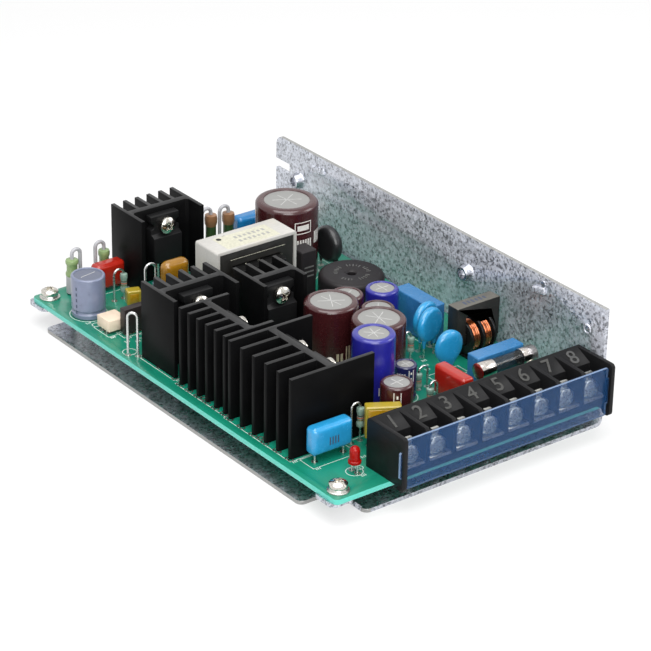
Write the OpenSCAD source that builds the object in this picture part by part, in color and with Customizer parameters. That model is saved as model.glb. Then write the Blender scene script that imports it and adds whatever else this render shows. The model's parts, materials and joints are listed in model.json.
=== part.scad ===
// Open frame switching power supply: a through-hole circuit board on an L-shaped
// steel chassis, with finned heatsinks, wound parts, capacitors and a covered
// eight-way screw terminal block.
// Origin: centre of the chassis base, on its underside. +X points to the chassis
// side wall, -Y to the terminal block, +Z up.

/* [Chassis] */
// Length of the chassis along Y
chassis_l = 160; // [150:1:175]
// Width of the chassis along X
chassis_w = 100; // [99:0.5:104]
// Height of the chassis side wall
chassis_h = 38; // [34:1:46]
// Sheet thickness
sheet_t = 1.2; // [0.8:0.1:1.6]
// Inside radius of the fold between base and side wall
fold_r = 1; // [0.6:0.1:1.4]
// Radius of the sheet's outside corners
corner_r = 2; // [1:0.5:3]
// Length of the notch at each free corner of the base, along X
notch_x = 12; // [11:0.5:14]
// Length of the notch at each free corner of the base, along Y
notch_y = 14; // [13:0.5:16]
// Width of the raised tabs that carry the board
tab_w = 9; // [8:0.5:10]
// Radius of the tapped holes in base and side wall
tap_r = 1.5; // [1.25:0.05:1.6]
// Spacing of the base holes along X
base_hole_x = 60; // [50:1:64]
// Spacing of the base holes along Y
base_hole_y = 110; // [100:1:114]
// Spacing of the two tapped bosses on the side wall
side_boss_y = 86; // [80:1:90]
// Height of the side wall bosses above the chassis underside
side_boss_z = 26.3; // [22:0.1:30]
// Length of the open slot in the far edge of the side wall
wall_slot_l = 7.4; // [5:0.1:9]
// Height of that slot
wall_slot_h = 3.3; // [2.5:0.1:4]

/* [Circuit board] */
// Board length along Y
board_l = 156; // [154:1:164]
// Gap between the board's side edge and the chassis side wall
board_side_gap = 0.8; // [0.6:0.1:1.2]
// Board thickness
board_t = 1.6; // [1.2:0.1:2]
// Clear height between the chassis base and the board
board_gap = 6.5; // [5.5:0.1:8]
// How far the board stands out past the chassis front edge
board_proud = 2.3; // [1:0.1:3]
// Radius of the board's mounting holes
board_hole_r = 1.7; // [1.6:0.05:1.9]
// Distance of the mounting holes from the board's side edges
hole_inset = 4; // [3.8:0.1:4.6]
// Diameter of the board screws' heads
screw_head_d = 5.4; // [5:0.1:5.8]
// Diameter of the flat washers
washer_d = 6.4; // [6:0.1:7]

/* [Terminal block] */
// Number of screw terminals
poles = 8; // [4:1:8]
// Spacing of the terminals
pole_pitch = 9.5; // [9:0.1:9.5]
// Thickness of the end walls and partitions
pole_wall = 1.3; // [1:0.1:1.6]
// Depth of the block along Y
block_d = 16.6; // [16:0.1:18]
// Height of the block above the board
block_h = 15.5; // [15:0.1:18]
// How far the block stands out past the board's front edge
block_proud = 6; // [5:0.1:7]
// Height of the contact floor above the board
well_floor = 4.4; // [3.5:0.1:5]
// Diameter of the terminal screws' heads
terminal_head_d = 6.6; // [6:0.1:6.8]
// Thickness of the clear cover
cover_t = 0.8; // [0.6:0.1:1]
// Height of the clear cover
cover_h = 15.4; // [14:0.1:15.6]

/* [Heatsinks] */
// Height of the extruded heatsinks
sink_h = 25; // [22:0.5:28]
// Width of the standard heatsinks
sink_w = 23.4; // [22:0.1:23.8]
// Depth of the standard heatsinks
sink_d = 17.2; // [16.6:0.1:17.6]
// Depth of the pocket that holds the transistor
sink_pocket = 7.2; // [6.8:0.1:7.6]
// Width of the narrow heatsink
narrow_sink_w = 15.9; // [14:0.1:17]
// Width of the large heatsink
large_sink_w = 30.2; // [29:0.1:30.8]
// Depth of the large heatsink
large_sink_d = 29; // [27:0.1:29.4]
// Depth of the large heatsink's pocket
large_sink_pocket = 13.6; // [12:0.1:14]
// Thickness of the fins and walls
fin_t = 1.3; // [1:0.1:1.5]
// Thickness of the plate between fins and pocket
sink_plate_t = 2.4; // [2:0.1:2.8]

/* [Power transistors] */
// Width of the moulded package
package_w = 10.4; // [9.8:0.1:11]
// Height of the moulded package
package_h = 15.8; // [15:0.1:16.5]
// Thickness of the package's lower part
package_t = 4.5; // [4.2:0.1:4.8]
// Thickness of the package's upper part, which the screw clamps
package_tab_t = 2.8; // [2.4:0.1:3.2]
// Height of the package's lower end above the board
package_lift = 7.4; // [5:0.1:8]

/* [Transformer] */
// Width of the ferrite core
core_w = 27.6; // [26:0.1:28]
// Depth of the ferrite core
core_d = 11; // [10:0.1:12]
// Height of the transformer over its cover, above the board
transformer_h = 26.6; // [25:0.1:28]
// Thickness of the insulating cover
transformer_cover_t = 1; // [0.6:0.1:1.2]
// Depth of the winding
winding_d = 18.4; // [17:0.1:19]

/* [Electrolytic capacitors] */
// Diameter of the input reservoir capacitor
bulk_d = 20; // [18:0.1:20.4]
// Height of the input reservoir capacitor
bulk_h = 25.5; // [23:0.1:28]
// Diameter of the two large output capacitors
output_d = 16.3; // [15:0.1:16.5]
// Height of the two large output capacitors
output_h = 20.5; // [18:0.1:24]
// Diameter of the front blue capacitor
blue_d = 12.7; // [12:0.1:12.8]
// Height of the front blue capacitor
blue_h = 25.5; // [22:0.1:27]
// Diameter of the three medium capacitors
medium_d = 10.2; // [9.4:0.1:10.3]
// Height of the three medium capacitors
medium_h = 16.5; // [14:0.1:18]
// Diameter of the front small capacitor
small_d = 9.6; // [9:0.1:10]
// Height of the front small capacitor
small_h = 16.4; // [14:0.1:18]
// Diameter of the miniature capacitor
mini_d = 6.8; // [6.3:0.1:7]
// Height of the miniature capacitor
mini_h = 11.2; // [10:0.1:12]
// Diameter of the grey capacitor
grey_d = 10.6; // [10:0.1:10.8]
// Height of the grey capacitor
grey_h = 13.4; // [12:0.1:14]

/* [Chokes] */
// Outside diameter of the cased ring choke
ring_d = 20.8; // [19:0.1:21]
// Diameter of the ring choke's hole
ring_hole_d = 2.8; // [2:0.1:5]
// Height of the ring choke
ring_h = 9.4; // [8.5:0.1:10]
// Width of the line filter's ferrite frame
filter_w = 16.4; // [15:0.1:16.6]
// Depth of the line filter's ferrite frame
filter_d = 4.6; // [4:0.1:5]
// Height of the line filter above the board
filter_h = 16.8; // [16:0.1:18]
// Diameter of the line filter's bobbin flanges
filter_flange_d = 11; // [10:0.1:11.4]

/* [Box capacitors and fuse] */
// Length of the two line capacitors
box_l = 17.6; // [16.5:0.1:18]
// Width of the rear line capacitor
rear_box_w = 5.8; // [5:0.1:6.4]
// Height of the rear line capacitor
rear_box_h = 12.7; // [11:0.1:14]
// Width of the front line capacitor
front_box_w = 5; // [4.5:0.1:5.2]
// Height of the front line capacitor
front_box_h = 11.2; // [10:0.1:12]
// Length of the glass fuse with its caps
fuse_l = 21; // [20:0.1:22]
// Diameter of the glass fuse
fuse_d = 5.2; // [5:0.1:5.4]
// Height of the fuse's axis above the board
fuse_axis_h = 9.2; // [8:0.1:10]

/* [Hidden] */

$fn = 48;
eps = 0.01;

// Chassis and board frame
base_x0 = -chassis_w / 2;
base_y0 = -chassis_l / 2;
wall_in = chassis_w / 2 - sheet_t;
board_x0 = base_x0;
board_y0 = base_y0 - board_proud;
board_w = wall_in - base_x0 - board_side_gap;
board_under = sheet_t + board_gap;
board_top = board_under + board_t;
slope_run = board_gap;
free_tab_l = notch_x + 0.6;
lug_pad_before = 3;
lug_pad_after = 4.4;
lug_gap = 1;

// Mounting holes, from the board's front left corner
hole_front = 4.3;
hole_back = board_l - 4;
hole_front_right = 15.5;
board_holes = [
    [hole_inset, hole_front],
    [hole_inset, hole_back],
    [board_w - hole_inset - 1, hole_front_right],
    [board_w - hole_inset - 1, hole_back]
];

// Board screws
screw_shank_r = tap_r - 0.05;
screw_head_h = 2.1;
flat_washer_t = 0.5;
spring_washer_t = 0.8;
spring_washer_d = screw_head_d - 0.2;

// Terminal block, from the board's front left corner
block_x = 18.5;
block_w = poles * pole_pitch + pole_wall;
block_back = block_d - block_proud;
cover_y = -block_proud + 1.1;
cover_z = -1;
cover_tab_h = 8.2;
cover_tab_z = 2.8;
pole_screw_y = -0.6;
well_back = pole_screw_y + terminal_head_d / 2 + 0.5;
clamp_t = 1;

// Places on the board, from its front left corner
rear_sink_at = [28.3, 136.5];
left_sink_at = [4.8, 84.5];
middle_sink_at = [32.1, 77.6];
small_comb_at = [4, 57.6];
large_comb_at = [3.5, 25.4];
transformer_at = [46.9, 107.1];
bulk_at = [board_w - 23.1, 124.2];
output_rear_at = [48.6, 66.6];
output_front_at = [53.1, 49.5];
blue_front_at = [39.6, 34.9];
blue_rear_at = [board_w - 26.4, 71.3];
brown_rear_at = [60.4, 74.2];
brown_middle_at = [62.4, 61.6];
small_front_at = [37.2, 21];
mini_at = [52.6, 36.1];
grey_at = [7.8, 135.6];
ring_at = [board_w - 18.3, 96.6];
filter_at = [board_w - 9.9, 47.8];
rear_box_at = [board_w - 15.6, 66.6];
front_box_at = [board_w - 17.7, 28.4];
fuse_at = [board_w - 18.8, 22.6];
disc_places = [[board_w - 21, 58.2], [board_w - 22.5, 54.4]];
varistor_at = [board_w - 25.8, 41.8];
thermistor_at = [board_w - 12.6, 118.4];
dark_box_at = [66.7, 104.3];
dark_box_size = [5.8, 6, 18.4];
sky_film_at = [13.4, 20.9];
rear_red_at = [22.6, 147.4];
front_red_at = [62.6, 26];
rear_blue_at = [board_w - 24.2, 143.2];
front_yellow_at = [29.6, 17.4];
small_yellow_at = [21, 130.6];
amber_at = [33, 125.6];
opto_at = [7.8, 122.5];
chip_at = [16.1, 117.2];
led_at = [14, 10];

// Lead and wire radii
lead_r = 0.35;
link_r = 0.4;
seat = 0.3;

// Moves children from the board's front left corner, on its top face
module on_board(at) {
    translate([board_x0 + at[0], board_y0 + at[1], board_top]) children();
}

// Extrudes a Y-Z outline along X
module along_x(length) {
    rotate([90, 0, 90]) linear_extrude(length) children();
}

// Extrudes an X-Z outline along Y, towards +Y
module along_y(length) {
    translate([0, length, 0]) rotate([90, 0, 0]) linear_extrude(length) children();
}

// Rectangle with rounded corners, its own corner at the origin
module round_rect(size, r) {
    translate([r, 0]) square([size[0] - 2 * r, size[1]]);
    translate([0, r]) square([size[0], size[1] - 2 * r]);
    for (x = [r, size[0] - r], y = [r, size[1] - r]) translate([x, y]) circle(r);
}

// Box rounded along all its edges, centred on X and Y, standing on Z = 0
module soft_box(size, r) {
    intersection() {
        translate([-size[0] / 2, -size[1] / 2, 0])
            linear_extrude(size[2]) round_rect([size[0], size[1]], r);
        translate([-size[0] / 2, -size[1] / 2, 0])
            along_y(size[1]) round_rect([size[0], size[2]], r);
        translate([-size[0] / 2, -size[1] / 2, 0])
            along_x(size[0]) round_rect([size[1], size[2]], r);
    }
}

// Straight lead from the board up to a height
module lead(x, y, height, r = lead_r) {
    translate([x, y, 0]) cylinder(h = height, r = r);
}

// Lead that stands up at x, turns over a half circle to x + span and stops at a height there
module hairpin(span, top, low, r = lead_r) {
    bend = abs(span) / 2;
    cylinder(h = top - bend, r = r);
    translate([span, 0, low]) cylinder(h = top - bend - low, r = r);
    translate([span / 2, 0, top - bend]) rotate([90, 0, 0])
        rotate_extrude(angle = 180) translate([bend, 0]) circle(r);
}

// ---------------------------------------------------------------- chassis

// Section of a tab that rises from the base at 45 degrees and runs level under the board
module tab_section(run, overlap) {
    miter = sheet_t * (sqrt(2) - 1);
    polygon([
        [overlap, 0], [0, 0], [-slope_run, slope_run], [-run, slope_run],
        [-run, slope_run + sheet_t], [-slope_run + miter, slope_run + sheet_t],
        [miter, sheet_t], [overlap, sheet_t]
    ]);
}

module base_outline() {
    intersection() {
        union() {
            translate([base_x0, base_y0 + notch_y])
                round_rect([chassis_w + corner_r, chassis_l - 2 * notch_y + 0.5], corner_r);
            translate([base_x0 + notch_x, base_y0])
                round_rect([chassis_w, chassis_l], corner_r);
        }
        translate([base_x0, base_y0])
            square([chassis_w - sheet_t - fold_r, chassis_l]);
    }
}

module fold_section() {
    outer = fold_r + sheet_t;
    translate([chassis_w / 2 - outer, outer]) intersection() {
        difference() {
            circle(outer);
            circle(fold_r);
        }
        translate([0, -outer]) square([outer, outer]);
    }
}

module side_wall_outline() {
    difference() {
        union() {
            translate([base_y0, sheet_t + fold_r])
                square([chassis_l - 3, chassis_h - sheet_t - fold_r]);
            translate([-base_y0 - 4, sheet_t + fold_r])
                square([4, chassis_h - sheet_t - fold_r - 3]);
            translate([-base_y0 - 3, chassis_h - 3]) circle(3);
        }
        translate([-base_y0 - wall_slot_l, side_boss_z + 0.4])
            round_rect([2 * wall_slot_l, wall_slot_h], 0.4);
    }
}

// Window that frees a tab inside the base; the tab's hole is at the origin
module lug_window() {
    translate([-slope_run - lug_pad_before, -tab_w / 2 - lug_gap, -eps])
        cube([slope_run + lug_pad_before + lug_pad_after + 0.2, tab_w + 2 * lug_gap, sheet_t + 2 * eps]);
}

// Tapped boss pressed inwards from the side wall
module wall_boss() {
    rotate([0, -90, 0]) cylinder(h = 2.6, r1 = 2.9, r2 = 2.2);
}

// Corner tab outside the base outline: its pad is rounded, its root clears the base corner
module free_tab(pad_y) {
    root_y = max(pad_y, corner_r);
    intersection() {
        translate([0, pad_y, 0]) along_y(tab_w) tab_section(free_tab_l, 1);
        translate([-free_tab_l, 0, -1]) linear_extrude(board_under + 2) {
            translate([0, pad_y]) round_rect([free_tab_l - slope_run + 2, tab_w], 2);
            polygon([
                [3, pad_y], [free_tab_l - slope_run, pad_y], [free_tab_l - 2, root_y],
                [free_tab_l + 2, root_y], [free_tab_l + 2, pad_y + tab_w], [3, pad_y + tab_w]
            ]);
        }
    }
}

module chassis() {
    boss_far = -base_y0 - 12.7;
    lugs = [for (i = [2, 3]) [board_x0 + board_holes[i][0], board_y0 + board_holes[i][1]]];
    color("silver") difference() {
        union() {
            difference() {
                linear_extrude(sheet_t) base_outline();
                for (at = lugs) translate(at) lug_window();
            }
            translate([0, base_y0, 0]) along_y(chassis_l) fold_section();
            translate([wall_in, 0, 0]) along_x(sheet_t) side_wall_outline();
            translate([base_x0 + notch_x, base_y0, 0])
                free_tab(hole_front - board_proud - tab_w / 2 + 1);
            translate([base_x0 + notch_x, -base_y0, 0]) mirror([0, 1, 0])
                free_tab(notch_y - 0.4 - tab_w);
            for (at = lugs)
                translate([at[0] - slope_run - lug_pad_before, at[1] - tab_w / 2, 0]) mirror([1, 0, 0])
                    along_y(tab_w) tab_section(slope_run + lug_pad_before + lug_pad_after, 1);
            for (y = [boss_far, boss_far - side_boss_y])
                translate([wall_in + eps, y, side_boss_z]) wall_boss();
            translate([wall_in - 0.5, base_y0 + 136, side_boss_z + 5.4])
                along_x(0.6) round_rect([5.4, 2.2], 0.6);
            for (mark = [[7, 3], [27, 9.4]])
                translate([wall_in - 0.4, base_y0 + mark[0], side_boss_z + mark[1]])
                    rotate([0, 90, 0]) cylinder(h = 0.5, r = 0.9);
            for (x = [-1, 1], y = [-1, 1])
                translate([x * base_hole_x / 2, y * base_hole_y / 2, 0])
                    cylinder(h = sheet_t + 1.4, r = tap_r + 1);
        }
        for (hole = board_holes)
            translate([board_x0 + hole[0], board_y0 + hole[1], board_under - sheet_t - 1])
                cylinder(h = sheet_t + 2, r = tap_r);
        for (x = [-1, 1], y = [-1, 1])
            translate([x * base_hole_x / 2, y * base_hole_y / 2, -1])
                cylinder(h = sheet_t + 4, r = tap_r);
        for (y = [boss_far, boss_far - side_boss_y])
            translate([wall_in - 4, y, side_boss_z]) rotate([0, 90, 0]) cylinder(h = 8, r = tap_r);
    }
}

// ---------------------------------------------------------------- board

module circuit_board() {
    color("seagreen") translate([board_x0, board_y0, board_under])
        linear_extrude(board_t) difference() {
            round_rect([board_w, board_l], 1.5);
            for (hole = board_holes) translate(hole) circle(board_hole_r);
        }
}

// Domed head with a cross recess, standing on Z = 0
module pan_head(d, h) {
    difference() {
        rotate_extrude() intersection() {
            translate([0, h - d * 0.8]) circle(d * 0.8);
            square([d / 2, h]);
        }
        for (a = [0, 90]) rotate(a) translate([-d * 0.27, -0.4, h - 1]) cube([d * 0.54, 0.8, 2]);
    }
}

module board_screws() {
    shank = spring_washer_t + flat_washer_t + board_t + sheet_t + 0.8;
    color("gainsboro") for (hole = board_holes)
        on_board(hole) translate([0, 0, flat_washer_t + spring_washer_t]) {
            rotate(20) pan_head(screw_head_d, screw_head_h);
            translate([0, 0, -shank]) cylinder(h = shank, r = screw_shank_r);
        }
}

module board_washers() {
    color("darkgray") for (hole = board_holes) on_board(hole) {
        difference() {
            cylinder(h = flat_washer_t, r = washer_d / 2);
            translate([0, 0, -1]) cylinder(h = 3, r = tap_r + 0.1);
        }
        translate([0, 0, flat_washer_t]) difference() {
            cylinder(h = spring_washer_t, r = spring_washer_d / 2);
            translate([0, 0, -1]) cylinder(h = 3, r = tap_r + 0.1);
            translate([0, -0.25, -1]) cube([washer_d, 0.5, 3]);
        }
    }
}

// ---------------------------------------------------------------- terminal block

// Outline of an end wall, with a foot that hangs in front of the board
module end_wall_outline() {
    difference() {
        union() {
            translate([-block_proud, 0]) round_rect([block_d, block_h], 1.2);
            translate([0, 0]) square([block_back, 3]);
            translate([-block_proud, -1.2]) round_rect([3.2, 6], 1.4);
        }
        translate([cover_y - seat / 2, cover_tab_z - seat / 2]) square([cover_t + seat, cover_tab_h + seat]);
    }
}

// Outline of a partition: full height at the back, cut back for the cover in front
module partition_outline() {
    front = cover_y + cover_t + seat;
    polygon([
        [front, well_floor - 1], [front, block_h - 1.6], [front + 0.8, block_h - 0.6],
        [block_back - 2, block_h - 0.2], [block_back - 1, well_floor - 1]
    ]);
}

// Outline of the body behind the wells, with the sloping label face
module body_outline() {
    polygon([
        [0.3, 0], [block_back, 0], [block_back, block_h - 1], [block_back - 0.8, block_h],
        [block_back - 1.6, block_h], [well_back, block_h - 2.8],
        [well_back, well_floor], [cover_y + cover_t + seat, well_floor],
        [cover_y + cover_t + seat, well_floor - 2.2], [0.3, well_floor - 3.2]
    ]);
}

module terminal_housing() {
    color([0.1, 0.1, 0.11]) on_board([block_x, 0]) difference() {
        union() {
            for (x = [0, block_w - pole_wall]) translate([x, 0, 0]) along_x(pole_wall) end_wall_outline();
            for (i = [1:poles - 1]) translate([i * pole_pitch, 0, 0]) along_x(pole_wall) partition_outline();
            along_x(block_w) body_outline();
        }
        for (i = [0:poles - 1])
            translate([(i + 0.5) * pole_pitch + pole_wall / 2, pole_screw_y, 1]) cylinder(h = 10, r = 1.9);
    }
}

// Flat clear plate whose end tabs pass through slots in the end walls
module terminal_cover() {
    inner_w = block_w - 2 * pole_wall - 2 * seat;
    color([0.35, 0.5, 0.8, 0.5]) on_board([block_x, cover_y]) {
        translate([pole_wall + seat, 0, cover_z]) along_y(cover_t) round_rect([inner_w, cover_h], 0.5);
        translate([-0.4, 0, cover_tab_z]) along_y(cover_t) round_rect([block_w + 0.8, cover_tab_h], 0.5);
    }
}

module terminal_screws() {
    color("lightgray") for (i = [0:poles - 1])
        on_board([block_x + (i + 0.5) * pole_pitch + pole_wall / 2, pole_screw_y])
            translate([0, 0, well_floor + clamp_t]) {
                rotate(10 + 35 * i) pan_head(terminal_head_d, 2.4);
                translate([0, 0, -well_floor]) cylinder(h = well_floor, r = 1.7);
            }
}

module terminal_clamps() {
    size = pole_pitch - pole_wall - 2 * seat;
    color("silver") for (i = [0:poles - 1])
        on_board([block_x + (i + 0.5) * pole_pitch + pole_wall / 2, pole_screw_y])
            translate([0, 0, well_floor]) difference() {
                translate([-size / 2, -3.2, 0]) cube([size, 6.2, clamp_t]);
                translate([0, 0, -1]) cylinder(h = 3, r = 1.9);
            }
}

// ---------------------------------------------------------------- heatsinks

// Extrusion outline: fins towards +Y, transistor pocket towards -Y
module sink_outline(w, d, pocket, fins) {
    pitch = (w - fin_t) / (fins - 1);
    for (i = [0, fins - 1]) translate([i * pitch, 0]) square([fin_t, d]);
    for (i = [1:fins - 2]) translate([i * pitch, pocket]) square([fin_t, d - pocket]);
    translate([0, pocket]) square([w, sink_plate_t]);
    for (x = [fin_t, w - fin_t]) translate([x, pocket]) rotate(45) square(1.2, center = true);
}

// Heatsink with a clearance hole for the package screw
module heatsink(w, d, pocket, fins, hole_x) {
    difference() {
        linear_extrude(sink_h) sink_outline(w, d, pocket, fins);
        for (x = hole_x) translate([x, pocket - 2, package_screw_z])
            rotate([-90, 0, 0]) cylinder(h = sink_plate_t + 4, r = tap_r);
    }
}

package_screw_z = package_lift + package_h - 3.3;
large_places = [8.2, large_sink_w - 8.6];

module rear_heatsink() {
    color([0.12, 0.12, 0.12]) on_board(rear_sink_at)
        heatsink(sink_w, sink_d, sink_pocket, 6, [sink_w / 2]);
}

module left_heatsink() {
    color([0.12, 0.12, 0.12]) on_board(left_sink_at)
        heatsink(sink_w, sink_d, sink_pocket, 6, [sink_w / 2]);
}

module middle_heatsink() {
    color([0.12, 0.12, 0.12]) on_board(middle_sink_at)
        heatsink(narrow_sink_w, sink_d - 1.2, sink_pocket - 2, 4, [narrow_sink_w / 2 - 0.4]);
}

// Turns a heatsink so that its fins point to -X, with its corner at the origin
module fins_left(w, d) {
    translate([d, 0, 0]) rotate(90) children();
}

module small_comb_heatsink() {
    color([0.12, 0.12, 0.12]) on_board(small_comb_at) fins_left(sink_w, sink_d)
        heatsink(sink_w, sink_d, sink_pocket, 6, [sink_w / 2]);
}

module large_comb_heatsink() {
    color([0.12, 0.12, 0.12]) on_board(large_comb_at) fins_left(large_sink_w, large_sink_d)
        heatsink(large_sink_w, large_sink_d, large_sink_pocket, 6, large_places);
}

// ---------------------------------------------------------------- transistors

// Moulded package, its back face on Y = 0 and facing -Y, standing on its leads
module package() {
    step_z = package_h - 6.8;
    color([0.13, 0.13, 0.14]) translate([-package_w / 2, 0, package_lift]) difference() {
        along_x(package_w) polygon([
            [0, 0], [0, package_h], [-package_tab_t, package_h], [-package_tab_t, step_z + 0.8],
            [-package_t, step_z], [-package_t, 0.6], [-package_t + 0.6, 0]
        ]);
        translate([package_w / 2, 1, package_h - 3.3]) rotate([90, 0, 0])
            cylinder(h = package_t + 2, r = tap_r + 0.1);
        for (x = [0, package_w]) translate([x, 1, package_h - 3.3]) rotate([90, 0, 0])
            cylinder(h = package_t + 2, r = 1.1);
    }
    color("silver") for (x = [-2.54, 0, 2.54]) translate([x - 0.4, -package_t / 2 - 0.3, 0])
        cube([0.8, 0.6, package_lift + eps]);
}

module rear_transistor() {
    on_board(rear_sink_at) translate([sink_w / 2, sink_pocket, 0]) package();
}

module left_transistor() {
    on_board(left_sink_at) translate([sink_w / 2, sink_pocket, 0]) package();
}

module middle_transistor() {
    on_board(middle_sink_at) translate([narrow_sink_w / 2 - 0.4, sink_pocket - 2, 0]) package();
}

module small_rectifier() {
    on_board(small_comb_at) fins_left(sink_w, sink_d)
        translate([sink_w / 2, sink_pocket, 0]) package();
}

module large_rectifier() {
    on_board(large_comb_at) fins_left(large_sink_w, large_sink_d)
        for (x = large_places) translate([x, large_sink_pocket, 0]) package();
}

// Screw that clamps a package against its heatsink plate
module package_screw() {
    translate([0, -package_tab_t, package_screw_z]) rotate([90, 0, 0]) {
        difference() {
            cylinder(h = spring_washer_t, r = spring_washer_d / 2);
            translate([0, 0, -1]) cylinder(h = 3, r = tap_r + 0.1);
        }
        translate([0, 0, spring_washer_t]) {
            rotate(35) pan_head(screw_head_d, screw_head_h);
            translate([0, 0, -package_tab_t - spring_washer_t - sink_plate_t - 0.6])
                cylinder(h = package_tab_t + spring_washer_t + sink_plate_t + 0.6, r = screw_shank_r);
        }
    }
}

module heatsink_screws() {
    color("gainsboro") {
        on_board(rear_sink_at) translate([sink_w / 2, sink_pocket, 0]) package_screw();
        on_board(left_sink_at) translate([sink_w / 2, sink_pocket, 0]) package_screw();
        on_board(middle_sink_at)
            translate([narrow_sink_w / 2 - 0.4, sink_pocket - 2, 0]) package_screw();
        on_board(small_comb_at) fins_left(sink_w, sink_d)
            translate([sink_w / 2, sink_pocket, 0]) package_screw();
        on_board(large_comb_at) fins_left(large_sink_w, large_sink_d)
            for (x = large_places) translate([x, large_sink_pocket, 0]) package_screw();
    }
}

// ---------------------------------------------------------------- transformer

core_leg = 4.8;
core_bottom = 3.6;
core_top = transformer_h - transformer_cover_t;
winding_w = core_w - 2 * core_leg - 2 * seat;
flange_t = 0.9;
winding_low = core_bottom + core_leg + seat + flange_t;
winding_high = core_top - core_leg - seat - flange_t;
centre_leg_r = 4.8;

module transformer_core() {
    color([0.2, 0.2, 0.21]) on_board(transformer_at) translate([0, -core_d / 2, 0]) {
        along_y(core_d) difference() {
            translate([-core_w / 2, core_bottom]) round_rect([core_w, core_top - core_bottom], 0.6);
            translate([-core_w / 2 + core_leg, core_bottom + core_leg])
                square([core_w - 2 * core_leg, core_top - core_bottom - 2 * core_leg]);
        }
        translate([0, core_d / 2, core_bottom + 1])
            cylinder(h = core_top - core_bottom - 2, r = centre_leg_r);
    }
}

module transformer_bobbin() {
    foot_y = core_d / 2 + seat;
    neck_h = winding_low - core_bottom - flange_t;
    color([0.16, 0.15, 0.15]) on_board(transformer_at) {
        difference() {
            union() {
                for (z = [winding_low - flange_t, winding_high])
                    translate([-winding_w / 2, -winding_d / 2 - 0.5, z])
                        linear_extrude(flange_t) round_rect([winding_w, winding_d + 1], 1.2);
                translate([0, 0, winding_low - 0.5])
                    cylinder(h = winding_high - winding_low + 1, r = centre_leg_r + 1.1);
            }
            translate([0, 0, -1]) cylinder(h = transformer_h + 2, r = centre_leg_r + seat);
        }
        for (side = [0, 1]) mirror([0, side, 0]) {
            translate([-core_w / 2 + 1, foot_y, 0])
                cube([core_w - 2, winding_d / 2 + 1.5 - foot_y, core_bottom]);
            translate([-winding_w / 2 + 2, foot_y, core_bottom - eps])
                cube([winding_w - 4, winding_d / 2 + 0.5 - foot_y, neck_h + 2 * eps]);
        }
    }
}

module transformer_winding() {
    h = winding_high - winding_low - 2 * seat;
    color([0.22, 0.2, 0.14]) on_board(transformer_at) translate([0, 0, winding_low + seat]) difference() {
        translate([-winding_w / 2 + 0.4, -winding_d / 2, 0])
            linear_extrude(h) round_rect([winding_w - 0.8, winding_d], 4);
        translate([0, 0, -1]) cylinder(h = h + 2, r = centre_leg_r + 1.1 + seat);
    }
}

// Insulating channel over the core's top and both ends
module transformer_cover() {
    outer_w = core_w + 2 * transformer_cover_t;
    color("ivory") on_board(transformer_at) translate([0, -core_d / 2 - 0.3, 0]) difference() {
        along_y(core_d + 0.6) difference() {
            translate([-outer_w / 2, core_bottom + 4])
                round_rect([outer_w, transformer_h - core_bottom - 4], 0.7);
            translate([-core_w / 2, 0]) square([core_w, core_top]);
        }
        translate([-5.8, core_d - 2, core_top - 1]) cylinder(h = 4, r = 0.9);
    }
}

// ---------------------------------------------------------------- electrolytic capacitors

// Sleeved can: crimp near the foot, sleeve lip round a recessed top with a vent score
module electrolytic(d, h, tint) {
    r = d / 2;
    lip = 0.7;
    disc_r = r * 0.77;
    color(tint) difference() {
        rotate_extrude() difference() {
            union() {
                square([r - lip, h]);
                square([r, h - lip]);
                translate([r - lip, h - lip]) circle(lip);
            }
            translate([r + 0.35, 2.2]) circle(0.8);
            translate([0, h - 0.3]) square([disc_r, 1]);
            translate([-r, 0]) square([r, h]);
        }
    }
    color("lightgray") difference() {
        cylinder(h = h - 0.15, r = disc_r + 0.1);
        for (a = [30, 150, 270]) rotate(a)
            translate([-0.15, 0, h - 0.4]) cube([0.3, disc_r * 0.8, 1]);
    }
}

module bulk_capacitor() {
    on_board(bulk_at) electrolytic(bulk_d, bulk_h, [0.36, 0.13, 0.15]);
}

module output_capacitor_rear() {
    on_board(output_rear_at) electrolytic(output_d, output_h, [0.36, 0.13, 0.15]);
}

module output_capacitor_front() {
    on_board(output_front_at) electrolytic(output_d, output_h, [0.36, 0.13, 0.15]);
}

module blue_capacitor_front() {
    on_board(blue_front_at) electrolytic(blue_d, blue_h, [0.22, 0.24, 0.66]);
}

module blue_capacitor_rear() {
    on_board(blue_rear_at) electrolytic(medium_d, medium_h, [0.22, 0.24, 0.66]);
}

module brown_capacitor_rear() {
    on_board(brown_rear_at) electrolytic(medium_d, medium_h, [0.3, 0.17, 0.14]);
}

module brown_capacitor_middle() {
    on_board(brown_middle_at) electrolytic(medium_d, medium_h, [0.3, 0.17, 0.14]);
}

module small_capacitor_front() {
    on_board(small_front_at) electrolytic(small_d, small_h, [0.33, 0.14, 0.14]);
}

module mini_capacitor() {
    on_board(mini_at) electrolytic(mini_d, mini_h, [0.12, 0.13, 0.36]);
}

module grey_capacitor() {
    on_board(grey_at) electrolytic(grey_d, grey_h, [0.58, 0.62, 0.7]);
}

// ---------------------------------------------------------------- chokes

// Cased ring choke: moulded drum with a central hole, on a smaller foot with wire ends
module ring_choke() {
    foot = 1.2;
    round_r = 1.4;
    r = ring_d / 2;
    color([0.24, 0.23, 0.24]) on_board(ring_at) {
        rotate_extrude() difference() {
            union() {
                translate([0, foot]) square([r - round_r, ring_h - foot]);
                translate([0, foot]) square([r, ring_h - foot - round_r]);
                translate([r - round_r, ring_h - round_r]) circle(round_r);
                square([r - 2.4, foot]);
            }
            translate([-r, 0]) square([r + ring_hole_d / 2, ring_h]);
            translate([0, ring_h - 0.5]) square([ring_hole_d / 2 + 0.5, 1]);
        }
    }
}

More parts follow.
